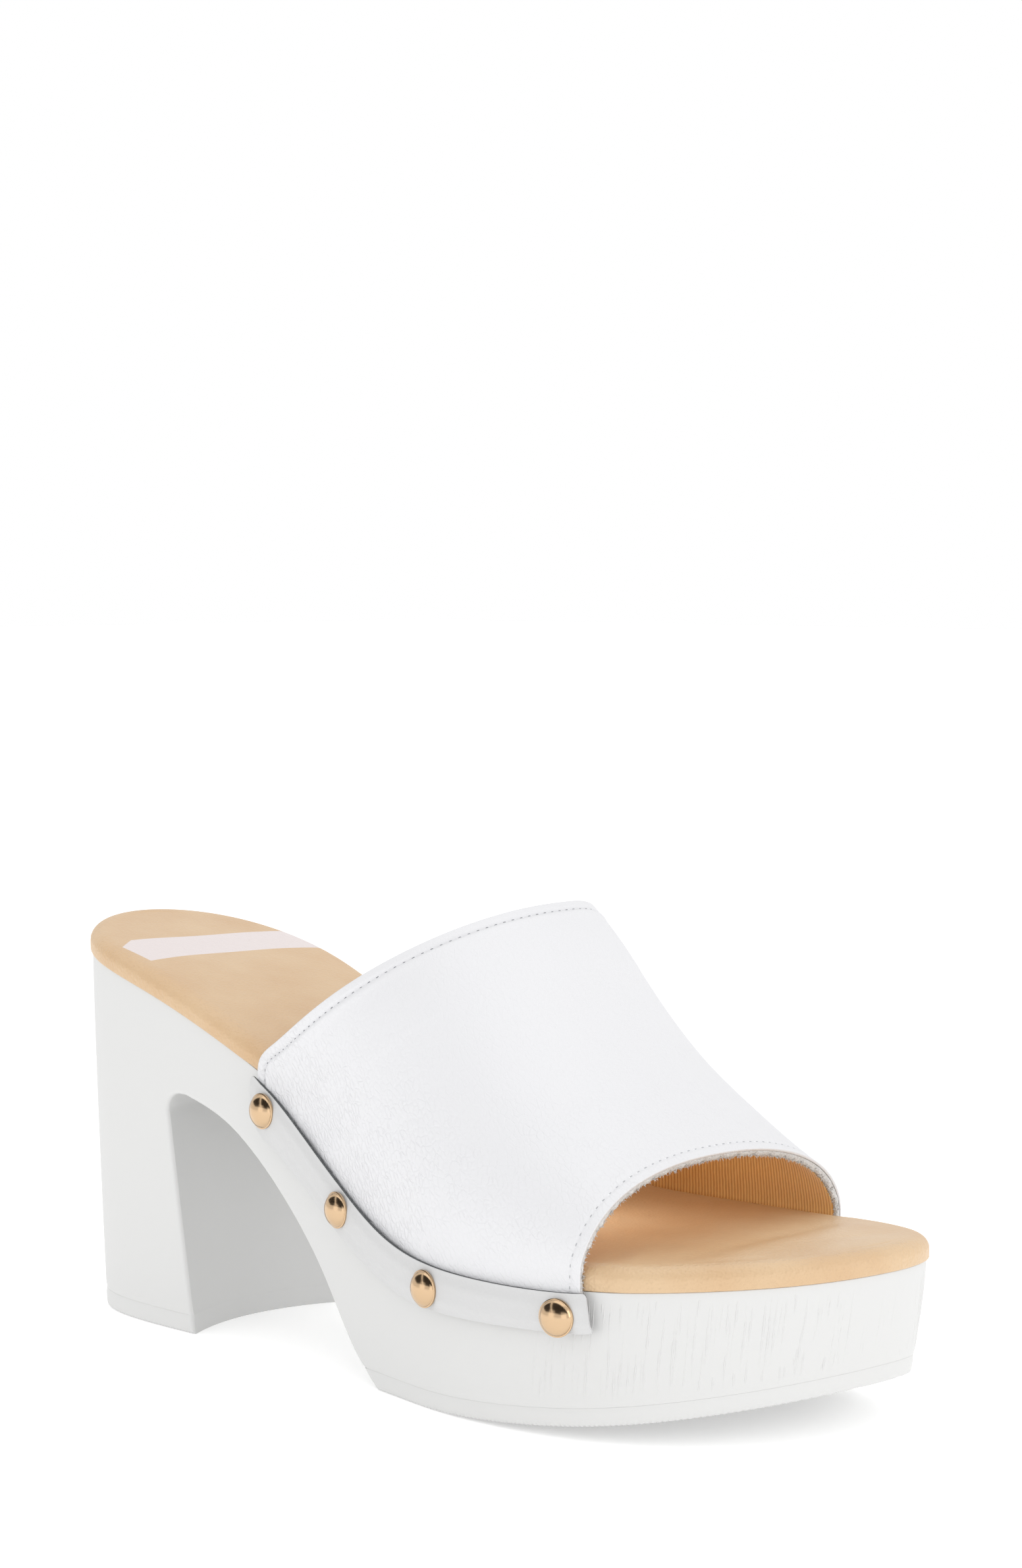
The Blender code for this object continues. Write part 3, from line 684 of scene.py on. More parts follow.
@dataclass(frozen=True)
class Last:
    """The form that the shoe is set out on."""
    length: float = 0.245
    ball: float = 0.090
    heel: float = 0.0942
    platform: float = 0.0332
    toe_spring: float = 0.0114
    origin_along: float = 0.120
    flat_end: float = 0.600
    flank_taper: float = 0.0010
    heel_taper: float = 0.0030
    toe_taper: float = 0.0033
    heel_fade: tuple[float, float] = (0.220, 0.340)
    toe_fade: tuple[float, float] = (0.800, 0.980)
    flank_curve: float = 1.3
    outsole: float = 0.0042
    top_piece: float = 0.0046
    tread_fade: tuple[float, float] = (0.350, 0.400)
    insole: float = 0.0055
    plan: tuple[tuple[float, float, float], ...] = (
        (0.00, 0.012, -0.012), (0.02, 0.187, 0.173), (0.08, 0.307, 0.310), (0.15, 0.336, 0.352),
        (0.25, 0.312, 0.366), (0.35, 0.277, 0.372), (0.45, 0.274, 0.400), (0.55, 0.331, 0.451),
        (0.65, 0.439, 0.506), (0.73, 0.491, 0.509), (0.80, 0.492, 0.483), (0.87, 0.461, 0.419),
        (0.93, 0.401, 0.310), (0.98, 0.298, 0.137), (1.00, 0.115, -0.115),
    )
    pitch: tuple[float, ...] = (1.0, 0.911, 0.810, 0.667, 0.480, 0.220, 0.051, 0.003, 0.0, 0.0, 0.0)
    spring: tuple[float, ...] = (0.0, 0.0, 0.0, 0.0, 0.0, 0.0, 0.0, 0.0, 0.0, 0.13, 0.30)
    inner_half: Curve = field(init=False, repr=False)
    outer_half: Curve = field(init=False, repr=False)
    pitch_line: Curve = field(init=False, repr=False)
    spring_line: Curve = field(init=False, repr=False)
    walk: tuple[Array, Array] = field(init=False, repr=False)

    def __post_init__(self) -> None:
        """Fit the curves."""
        turns = [float(self.turn(row[0])) for row in self.plan]
        stations = list(np.linspace(0.0, 1.0, len(self.pitch)))
        object.__setattr__(self, "inner_half", spline(turns, [row[1] for row in self.plan]))
        object.__setattr__(self, "outer_half", spline(turns, [row[2] for row in self.plan]))
        object.__setattr__(self, "pitch_line", spline(stations, self.pitch))
        object.__setattr__(self, "spring_line", spline(stations, self.spring))
        angles = np.linspace(0.0, 2.0 * math.pi, 2001)
        points = self.plan_at(angles)
        run = np.concatenate([[0.0], np.cumsum(np.linalg.norm(np.diff(points, axis=0), axis=1))])
        object.__setattr__(self, "walk", (angles, run))

    @staticmethod
    def turn(share: Any) -> Array:
        """Angle round the outline at a share of the length: 0 at the heel, pi at the toe."""
        return np.arccos(1.0 - 2.0 * np.clip(share, 0.0, 1.0))

    def share(self, x: Any) -> Array:
        """Share of the shoe's length at x."""
        return np.asarray(x) / self.length + self.origin_along

    def x_of(self, share: Any) -> Array:
        """x at a share of the shoe's length."""
        return (np.asarray(share) - self.origin_along) * self.length

    def top(self, x: Any) -> Array:
        """Height of the sole's top."""
        share = np.clip(self.share(x), 0.0, 1.0)
        climb = (self.heel - self.platform) * self.pitch_line(share)
        return self.platform + climb + self.toe_spring * self.spring_line(share)

    def ground(self, x: Any) -> Array:
        """Height of the tread's underside: flat, then a rocker up to the toe."""
        run = (np.clip(self.share(x), self.flat_end, 1.0) - self.flat_end) / (1.0 - self.flat_end)
        return self.toe_spring * run ** 2

    def tread_top(self, x: Any) -> Array:
        """Height of the seam over the tread."""
        low, high = self.tread_fade
        forward = ease((self.share(x) - low) / (high - low))
        return self.ground(x) + self.top_piece + (self.outsole - self.top_piece) * forward

    def edge(self, x: Any, side: Side) -> Array:
        """y of the sole's top edge at x."""
        turn = self.turn(self.share(x))
        return self.ball * (self.inner_half(turn) if side is Side.MEDIAL else -self.outer_half(turn))

    def plan_at(self, angle: Any) -> Array:
        """Points of the outline; the angle runs up the inner side and back down the outer one."""
        angle = np.mod(np.asarray(angle, dtype=float), 2.0 * math.pi)
        forward = np.where(angle <= math.pi, angle, 2.0 * math.pi - angle)
        x = self.x_of((1.0 - np.cos(forward)) / 2.0)
        y = np.where(angle <= math.pi, self.inner_half(forward), -self.outer_half(forward)) * self.ball
        return np.stack([x, y], axis=-1)

    def plan_normal(self, angle: Any) -> Array:
        """Outward normals of the outline."""
        step = 0.004
        tangent = self.plan_at(np.asarray(angle) + step) - self.plan_at(np.asarray(angle) - step)
        tangent /= np.linalg.norm(tangent, axis=-1, keepdims=True)
        return np.stack([-tangent[..., 1], tangent[..., 0]], axis=-1)

    def angle_of(self, x: Any, side: Side) -> Array:
        """Angle round the outline at x on one side."""
        turn = self.turn(self.share(x))
        return turn if side is Side.MEDIAL else 2.0 * math.pi - turn

    def run_of(self, angle: Any) -> Array:
        """Distance walked round the outline."""
        return np.interp(np.mod(angle, 2.0 * math.pi), *self.walk)

    def taper(self, x: Any) -> Array:
        """Whole lean of the sole's side, from its top to the ground."""
        share = self.share(x)
        heel = 1.0 - ease((share - self.heel_fade[0]) / (self.heel_fade[1] - self.heel_fade[0]))
        toe = ease((share - self.toe_fade[0]) / (self.toe_fade[1] - self.toe_fade[0]))
        return (self.flank_taper + (self.heel_taper - self.flank_taper) * heel
                + (self.toe_taper - self.flank_taper) * toe)

    def flank(self, x: Array, z: Array, side: Side, draw_in: Any = 0.0) -> Array:
        """Points of the sole's side.

        Args:
            x: Places along the shoe.
            z: Heights.
            side: Which side.
            draw_in: Further inset, for a rounded edge.

        Returns:
            The points, shaped as x and z are.
        """
        angle = self.angle_of(x, side)
        plan = self.plan_at(angle)
        top = self.top(x)
        depth = np.clip((top - z) / (top - self.ground(x)), 0.0, 1.0)
        inset = self.taper(x) * depth ** self.flank_curve + draw_in
        moved = plan - self.plan_normal(angle) * inset[..., None]
        return np.concatenate([moved, z[..., None]], axis=-1)


# The moulded sole


@dataclass
class Sole:
    """Sole unit, outsole and top piece, cut by the arch between the heel and the forepart."""
    last: Last
    finishes: Finishes
    waist: float = 0.0200
    breast_along: float = 0.235
    breast_hollow: float = 0.0070
    breast_lean: float = 0.0070
    breast_corner: float = 0.0045
    arch: tuple[tuple[float, float], ...] = (
        (0.235, 1.000), (0.302, 0.909), (0.346, 0.793), (0.391, 0.640),
        (0.422, 0.519), (0.454, 0.370), (0.496, 0.146), (0.539, 0.000),
    )
    edge_round: float = 0.9 * MM        # round of the arch's edges
    seam_round: float = 0.04 * MM       # lower lip of the moulding, over the tread
    seam_gap: float = 0.01 * MM
    seam_dip: float = 0.20 * MM         # soft hollow along that seam
    tread_round: float = 0.03 * MM      # upper lip of the tread
    top_round: float = 0.16 * MM        # upper edge, under the insole
    foot_round: float = 0.9 * MM        # lower edge of the tread
    rib_pitch: float = 1.2 * MM         # cross ribs under the tread, which nick its lower edge
    rib_depth: float = 0.22 * MM
    rows_upper: int = 34
    rows_lower: int = 40
    columns_across: int = 22

    def __post_init__(self) -> None:
        """Work out the arch's main points."""
        last = self.last
        self.foot_x = float(last.x_of(self.breast_along))
        self.head_x = self.foot_x - self.breast_lean
        self.arch_top = float(last.top(self.foot_x)) - self.waist
        self.shoulder = self.arch_top - self.breast_corner
        self.arch_line = spline([row[0] for row in self.arch], [row[1] for row in self.arch])
        x = np.linspace(self.foot_x, float(last.x_of(self.arch[-1][0])), 4001)
        over = self.arch_height(x) - self.seam_at(x)
        self.arch_end_x = float(x[np.argmax(over <= 0.0)])

    def arch_height(self, x: Array) -> Array:
        """Height of the waist's underside from the breast's corner forward."""
        return np.where(x <= self.foot_x, self.arch_top, self.arch_top * self.arch_line(self.last.share(x)))

    def seam_at(self, x: Array) -> Array:
        """Lower edge of the sole unit over the tread."""
        return self.last.tread_top(x) + self.seam_gap

    def arch_outline(self) -> Array:
        """The arch seen from the side, as points from the ground at the breast to the ground in front."""
        angle = np.linspace(0.0, math.pi / 2.0, 16)
        corner = np.stack([self.head_x + self.breast_corner * (1.0 - np.cos(angle)),
                           self.arch_top - self.breast_corner * (1.0 - np.sin(angle))], axis=-1)
        x = np.linspace(self.foot_x, float(self.last.x_of(self.arch[-1][0])), 160)
        line = np.stack([x, self.arch_height(x)], axis=-1)
        rise = np.linspace(0.0, 1.0, 3)[:, None]
        foot, head = np.array([self.foot_x, 0.0]), np.array([self.head_x, self.shoulder])
        face = foot * (1.0 - rise) + head * rise
        return np.concatenate([face, corner, line])

    def arch_distance(self, x: Array, z: Array) -> Array:
        """Distance in side view from the arch's edge."""
        line = self.arch_outline()
        start, end = line[:-1], line[1:]
        run = end - start
        length = np.maximum((run ** 2).sum(axis=1), 1e-18)
        away = np.stack([x.ravel(), z.ravel()], axis=-1)[:, None, :] - start
        share = np.clip((away * run).sum(axis=-1) / length, 0.0, 1.0)
        return np.linalg.norm(away - share[..., None] * run, axis=-1).min(axis=1).reshape(x.shape)

    def draw_in(self, x: Array, z: Array, low: Array, high: Array, low_round: float,
                high_round: float) -> Array:
        """Inset of every rounded edge of a side wall."""
        seams = np.maximum(rounding(z - low, low_round), rounding(high - z, high_round))
        return np.maximum(seams, rounding(self.arch_distance(x, z), self.edge_round))

    def grain_at(self, x: Array, z: Array) -> Array:
        """Strength of the wood grain: full on the forepart, faint on the heel and at the toe."""
        share = self.last.share(x)
        front = ease((share - 0.66) / 0.17) * (1.0 - 0.5 * ease((share - 0.985) / 0.015))
        return 0.30 + 0.70 * front

    def wall(self, draft: MeshDraft, x: Array, z: Array, side: Side, low: Array, high: Array,
             low_round: float, high_round: float) -> Array:
        """Add one grid of the side and return its points."""
        dip = self.seam_dip * hump(z - self.seam_at(x), 0.8 * MM)
        points = self.last.flank(x, z, side, self.draw_in(x, z, low, high, low_round, high_round) + dip)
        draft.grid(points)
        return points

    def hollow(self, grid: Array, weight: Array) -> Array:
        """Draw the middle of rows across the shoe back, as the heel's front face is."""
        share = np.linspace(0.0, 1.0, grid.shape[1])
        grid = grid.copy()
        grid[..., 0] -= self.breast_hollow * weight[:, None] * (4.0 * share * (1.0 - share))[None, :]
        return grid

    def unit_columns(self) -> tuple[Array, int, int]:
        """x of the sole unit's columns, and the numbers of the breast's column and the arch's end."""
        last = self.last
        near = self.edge_round * np.array([0.0, 0.12, 0.35, 0.65, 1.0, 1.5])
        head_turn = float(last.turn(last.share(self.head_x - near[-1])))
        back = last.x_of((1.0 - np.cos(np.linspace(0.0, head_turn, 70))) / 2.0)
        heel = np.concatenate([back[:-1], self.head_x - near[::-1]])
        angle = np.linspace(0.0, math.pi / 2.0, 10)
        corner = self.head_x + self.breast_corner * (1.0 - np.cos(angle))
        waist = np.concatenate([corner[1:], np.linspace(corner[-1], self.arch_end_x, 90)[1:]])
        end_turn = float(last.turn(last.share(self.arch_end_x)))
        front = last.x_of((1.0 - np.cos(np.linspace(end_turn, math.pi, 130))) / 2.0)[1:]
        return np.concatenate([heel, waist, front]), len(heel) - 1, len(heel) + len(waist) - 1

    def under_edge(self, x: Array) -> Array:
        """Lower end of the upper rows: the shoulder's level, the arch, then the seam."""
        last = self.last
        in_corner = np.clip((x - self.head_x) / self.breast_corner, 0.0, 1.0)
        corner = self.arch_top - self.breast_corner * (1.0 - np.sqrt(1.0 - (1.0 - in_corner) ** 2))
        arch = np.maximum(self.arch_height(x), self.seam_at(x))
        return np.where(x <= self.head_x, self.shoulder, np.where(in_corner < 1.0, corner, arch))

    def make_unit(self) -> None:
        """Platform, waist and heel in one closed mesh."""
        last = self.last
        columns, breast, arch_end = self.unit_columns()
        low = self.under_edge(columns)
        high = last.top(columns)
        near = np.array([0.0, 0.04, 0.09, 0.16, 0.24, 0.5, 1.0, 1.6]) * MM
        rows = np.array([spread(t, b, self.rows_upper, near, near) for t, b in zip(high, low)]).T
        x = np.broadcast_to(columns, rows.shape)
        seam = self.seam_at(columns)
        draft = MeshDraft()
        upper, lower = {}, {}
        lean_weight = ease((columns[:breast + 1] - columns[0]) / (self.head_x - columns[0]))
        for side in Side:
            upper[side] = self.wall(draft, x, rows, side, np.broadcast_to(seam, rows.shape),
                                    np.broadcast_to(high, rows.shape), self.seam_round, self.top_round)
            heel_rows = np.array([spread(self.shoulder, s, self.rows_lower, (), near)
                                  for s in seam[:breast + 1]]).T
            slant = self.breast_lean * lean_weight * (1.0 - heel_rows / self.shoulder)
            lower[side] = self.wall(draft, columns[:breast + 1] + slant, heel_rows, side,
                                    np.broadcast_to(seam[:breast + 1], heel_rows.shape),
                                    np.full(heel_rows.shape, 1.0), self.seam_round, self.seam_round)
        left, right = upper[Side.LATERAL], upper[Side.MEDIAL]
        draft.grid(across(left[0], right[0], self.columns_across))
        foot_left, foot_right = lower[Side.LATERAL], lower[Side.MEDIAL]
        face = across(foot_left[::-1, -1], foot_right[::-1, -1], self.columns_across)
        draft.grid(self.hollow(face, np.ones(len(face))))
        roof_x = columns[breast:arch_end + 1]
        roof = across(left[-1, breast:arch_end + 1], right[-1, breast:arch_end + 1], self.columns_across)
        corner_end = self.head_x + self.breast_corner
        fade = 1.0 - ease((roof_x - corner_end) / (self.breast_hollow * 1.6))
        draft.grid(self.hollow(roof, fade))
        base = across(foot_left[-1], foot_right[-1], self.columns_across)
        draft.grid(self.hollow(base, lean_weight))
        draft.grid(across(left[-1, arch_end:], right[-1, arch_end:], self.columns_across))
        add_piece("sole_unit_moulding", draft.mesh("sole_unit_moulding"), [self.finishes.sole],
                  ["sole_unit"])

    def make_tread(self, name: str, node: str, forward: bool) -> None:
        """One closed band of tread with cross ribs underneath.

        Args:
            name: Name of the piece.
            node: The solid that it stands for.
            forward: The forepart's outsole, or else the heel's top piece.
        """
        last = self.last
        near = np.array([0.0, 0.06, 0.14, 0.24, 0.5, 0.9]) * MM
        if forward:
            bound = self.arch_end_x
            start, end = float(last.angle_of(bound, Side.MEDIAL)), math.pi
        else:
            bound = self.breast_x(0.0)
            start, end = 0.0, float(last.angle_of(bound, Side.MEDIAL))
        span = last.run_of(np.array([start, end]))
        steps = int((span[1] - span[0]) / (self.rib_pitch / 5.0))
        runs = np.linspace(span[0], span[1], steps + 1)
        turns = np.interp(runs, last.walk[1][:1001], last.walk[0][:1001])
        columns = last.x_of((1.0 - np.cos(turns)) / 2.0)
        columns[-1 if not forward else 0] = bound
        extra = bound + np.array([0.1, 0.3, 0.6]) * self.edge_round * (1.0 if forward else -1.0)
        columns = np.sort(np.concatenate([columns, extra]))
        high = last.tread_top(columns)
        ribs = self.rib_depth * (0.5 + 0.5 * np.cos(2.0 * math.pi * columns / self.rib_pitch)) ** 2
        low = last.ground(columns) + ribs
        rows = np.array([spread(t, b, 4, near[:-1], near[:-1]) for t, b in zip(high, low)]).T
        weight = ease(1.0 - np.abs(columns - bound) / 0.02)
        reach = self.front_x(rows) if forward else self.breast_x(rows)
        x = columns + weight * (reach - bound)
        draft = MeshDraft()
        walls = {}
        for side in Side:
            walls[side] = self.wall(draft, x, rows, side, np.broadcast_to(low, rows.shape),
                                    np.broadcast_to(high, rows.shape), self.foot_round, self.tread_round)
        left, right = walls[Side.LATERAL], walls[Side.MEDIAL]
        hollow = np.zeros(len(columns)) if forward else weight
        for row in (0, -1):
            draft.grid(self.hollow(across(left[row], right[row], self.columns_across), hollow))
        end_column = 0 if forward else -1
        end_face = across(left[:, end_column], right[:, end_column], self.columns_across)
        draft.grid(self.hollow(end_face, np.full(len(end_face), hollow[end_column])))
        add_piece(name, draft.mesh(name), [self.finishes.tread], [node])

    def breast_x(self, z: Any) -> Array:
        """x of the heel's front edge at a height."""
        return self.foot_x - self.breast_lean * np.asarray(z) / self.shoulder

    def front_x(self, z: Array) -> Array:
        """x of the arch's front end at a height inside the tread."""
        x = np.linspace(self.arch_end_x - 0.004, float(self.last.x_of(self.arch[-1][0])), 200)
        return np.interp(-z, -self.arch_height(x), x)

    def build(self) -> None:
        """Make the three pieces."""
        self.make_unit()
        self.make_tread("outsole_band", "outsole_forepart", forward=True)
        self.make_tread("heel_top_lift", "heel_top_piece", forward=False)


@dataclass
class WoodGrain:
    """Raised strokes of a wood grain on the sole's side, swept by Geometry Nodes."""
    last: Last
    sole: Sole
    finishes: Finishes
    spacing: float = 1.15 * MM          # from column to column of strokes
    lengths: tuple[float, float] = (9.0 * MM, 30.0 * MM)
    gaps: tuple[float, float] = (0.5 * MM, 6.0 * MM)
    width: float = 0.50 * MM
    height: float = 0.38 * MM           # of the whole oval, of which the lower part is sunk
    sink: float = 0.09 * MM
    lean: float = 0.09                  # how far a stroke leans forward as it rises
    wave: float = 0.07 * MM
    margin: float = 0.9 * MM
    step: float = 0.85 * MM
    seed: int = 5

    def on_sole(self, x: Array, z: Array) -> Array:
        """Whether places on the side lie on the sole, clear of its edges and the arch."""
        sole = self.sole
        low = np.maximum(self.sole.seam_at(x), 0.0) + self.margin
        high = self.last.top(x) - self.margin
        in_arch = (x > sole.breast_x(z)) & (x < sole.arch_end_x) & (z < sole.arch_height(x))
        clear = sole.arch_distance(x, z) > self.margin
        return (z > low) & (z < high) & ~in_arch & clear

    def strokes(self, side: Side) -> list[tuple[Array, Array, Array]]:
        """Lay the strokes of one side.

        Args:
            side: Which side.

        Returns:
            For each stroke its points, outward directions and strengths.
        """
        last = self.last
        rng = np.random.default_rng(self.seed + (side is Side.MEDIAL))
        angles, runs = last.walk
        whole = runs[-1]
        middle = np.interp(math.pi, angles, runs)
        start, end = (0.0, middle) if side is Side.MEDIAL else (middle, whole)
        forward = 1.0 if side is Side.MEDIAL else -1.0
        made = []
        for run in np.arange(start, end, self.spacing):
            z = rng.uniform(-10.0, 6.0) * MM
            while z < 0.1:
                length = rng.uniform(*self.lengths)
                up = np.arange(0.0, length, self.step)
                wave = self.wave * np.sin(up / (1.9 * MM) + rng.uniform(0.0, 6.3))
                wave += rng.normal(0.0, 0.35, len(up)) * self.wave
                along = run + rng.normal(0.0, 0.5) * MM + forward * (self.lean * (up - length / 2.0) + wave)
                angle = np.interp(along, runs, angles)
                plan = last.plan_at(angle)
                height = z + up
                keep = self.on_sole(plan[:, 0], height)
                strength = self.sole.grain_at(plan[:, 0], height)
                shown = rng.uniform() < 1.25 * float(strength.mean())
                if keep.sum() >= 4 and shown:
                    first = int(np.argmax(keep))
                    rest = keep[first:]
                    part = slice(first, None if rest.all() else first + int(np.argmin(rest)))
                    if len(up[part]) >= 4:
                        normal = np.column_stack([last.plan_normal(angle[part]), np.zeros(len(up[part]))])
                        points = last.flank(plan[part, 0], height[part], side) - normal * self.sink
                        taper = np.sin(np.linspace(0.1, math.pi - 0.1, len(points))) ** 0.5
                        taper *= rng.uniform(0.75, 1.1, len(points))
                        made.append((points, normal, taper * strength[part] * rng.uniform(0.7, 1.15)))
                z += length + rng.uniform(*self.gaps)
        return made

    def tree(self) -> bpy.types.NodeTree:
        """The node tree: an oval swept along each line, its flat side on the sole."""
        tree, given = start_tree("wood_grain", {"Stroke Width": "Float", "Stroke Height": "Float"})
        line = add_node(tree, "GeometryNodeMeshToCurve", {0: given["Line"]})
        outward = add_node(tree, "GeometryNodeInputNamedAttribute", {"Name": "outward"},
                           data_type='FLOAT_VECTOR')
        faced = add_node(tree, "GeometryNodeSetCurveNormal",
                         {"Curve": line.outputs[0], "Normal": outward.outputs[0]}, mode='FREE')
        weight = add_node(tree, "GeometryNodeInputNamedAttribute", {"Name": "weight"}, data_type='FLOAT')
        round_line = add_node(tree, "GeometryNodeCurvePrimitiveCircle", {"Resolution": 6, "Radius": 0.5})
        size = add_node(tree, "ShaderNodeCombineXYZ", {0: given["Stroke Height"], 1: given["Stroke Width"],
                                                       2: 1.0})
        oval = add_node(tree, "GeometryNodeTransform", {"Geometry": round_line.outputs[0],
                                                        "Scale": size.outputs[0]})
        swept = add_node(tree, "GeometryNodeCurveToMesh",
                         {"Curve": faced.outputs[0], "Profile Curve": oval.outputs[0],
                          "Scale": weight.outputs[0], "Fill Caps": True})
        return end_tree(tree, swept, given)

    def build(self) -> None:
        """Sweep every stroke."""
        made = [stroke for side in Side for stroke in self.strokes(side)]
        points, outward, weight = zip(*made)
        given = {"Stroke Width": self.width, "Stroke Height": self.height, "Finish": self.finishes.sole}
        mesh = grow_along(self.tree(), "wood_grain_strokes", points, outward, given, weight=weight)
        add_piece("wood_grain_strokes", mesh, [self.finishes.sole])
        log.info("wood grain: %d strokes", len(made))


# The insole


@dataclass
class Insole:
    """Foam insole covered in leather, its edge rolled over."""
    last: Last
    finishes: Finishes
    overhang: float = 0.6 * MM
    edge_across: float = 4.6 * MM       # rolled edge, from the side to where the top is level
    edge_high: float = 3.6 * MM
    gap: float = 0.05 * MM
    tuck: float = 0.35 * MM
    crown: float = 1.0 * MM
    overhang_run: float = 8.0 * MM
    strip_ends: tuple[float, float] = STRIP_ENDS_ALONG
    pleat: float = 2.3 * MM             # from one small pleat of the rolled edge to the next
    stations: int = 560
    columns: int = 170

    def stand_out(self, x: Array) -> Array:
        """How far the edge stands past the sole's: nothing beside the vamp."""
        rear = float(self.last.x_of(self.strip_ends[0])) - SEAT
        front = float(self.last.x_of(self.strip_ends[1])) + SEAT
        run = self.overhang_run
        beside = np.minimum(ease((x - rear + run) / run), ease((front + run - x) / run))
        return self.overhang * (1.0 - beside)

    def dents(self, x: Array, y: Array) -> Array:
        """Soft hollows and pulls of the covered foam, placed one by one on the shoe."""
        length = self.last.length
        heel_seat = -0.7 * MM * hump(np.hypot((x - 0.000) / 1.6, y), 0.016)
        ball = -0.6 * MM * hump(np.hypot((x - 0.60 * length) / 1.3, y + 0.004), 0.022)
        pulls = np.zeros_like(x)
        for middle_x, middle_y, slant, width, reach, height in (
                (0.1845, 0.004, 0.04, 4.0, 22.0, -0.75), (0.1925, 0.000, 0.06, 6.0, 30.0, 0.50),
                (0.1800, -0.028, 0.60, 2.0, 9.0, -0.24), (0.1745, -0.029, 0.60, 1.8, 8.0, 0.20),
                (0.1690, -0.029, 0.50, 1.9, 9.0, -0.20), (0.2020, 0.016, -0.30, 3.0, 14.0, -0.20)):
            off = (x - middle_x) + slant * (y - middle_y)
            pulls += height * MM * hump(off, width * MM) * hump(y - middle_y, reach * MM)
        return heel_seat + ball + pulls

    def profile(self) -> list[tuple[float, float]]:
        """Section of the edge, as inset and rise, from the lower corner up to the top."""
        side_top = self.last.insole + SEAT - self.gap - self.edge_high
        rows = [(self.tuck, 0.0), (self.tuck * 0.3, self.tuck * 0.3), (0.0, self.tuck)]
        rows += [(0.0, self.tuck + (side_top - self.tuck) * s) for s in (0.35, 0.7)]
        rows += [(self.edge_across * (1.0 - math.cos(a)), side_top + self.edge_high * math.sin(a))
                 for a in np.linspace(0.0, math.pi / 2.0, 16)]
        return rows

    def build(self) -> None:
        """Make the insole as rings from its lower edge up and a cap straight across."""
        last = self.last
        half = self.stations // 2
        turns = np.linspace(0.0, 2.0 * math.pi, 2 * half + 1)
        plan = last.plan_at(turns)
        normal = last.plan_normal(turns)
        edge = plan + normal * self.stand_out(plan[:, 0])[:, None]
        run = last.run_of(turns)
        pleats = np.sin(2.0 * math.pi * run / self.pleat + 2.2 * np.sin(run / (7.0 * MM)))
        pleats *= 0.5 + 0.5 * np.sin(run / (5.3 * MM))
        rings = []
        profile = self.profile()
        for inset, rise in profile:
            share = rise / last.insole
            pinch = 0.05 * MM * pleats * math.sin(math.pi * min(share, 1.0)) ** 2
            moved = edge - normal * (inset - pinch)[:, None]
            rings.append(np.column_stack([moved, last.top(moved[:, 0]) + self.gap + rise]))
        rings = np.array(rings)
        draft = MeshDraft()
        roll = np.array([1.0 if inset < self.edge_across * 0.6 else 0.7 for inset, _ in profile])
        draft.grid(rings, roll=np.broadcast_to(roll[:, None], rings.shape[:2]))
        rim = rings[-1]
        left = rim[:half + 1]
        right = rim[::-1][:half + 1]
        cap = across(left, right, self.columns)
        share = np.linspace(0.0, 1.0, self.columns + 1)[None, :]
        width = np.linalg.norm(left - right, axis=1)[:, None]
        rise = self.crown * (4.0 * share * (1.0 - share)) * np.clip(width / last.ball, 0.0, 1.0)
        inside = ease(np.minimum(share, 1.0 - share) * width / (6.0 * MM))
        cap[..., 2] += rise + self.dents(cap[..., 0], cap[..., 1]) * inside
        draft.grid(cap, roll=np.full(cap.shape[:2], 0.6))
        under = rings[0]
        draft.grid(across(under[:half + 1], under[::-1][:half + 1], 12))
        piece = add_piece("insole_cover", draft.mesh("insole_cover", 60.0), [self.finishes.insole],
                          ["insole"])


# The upper


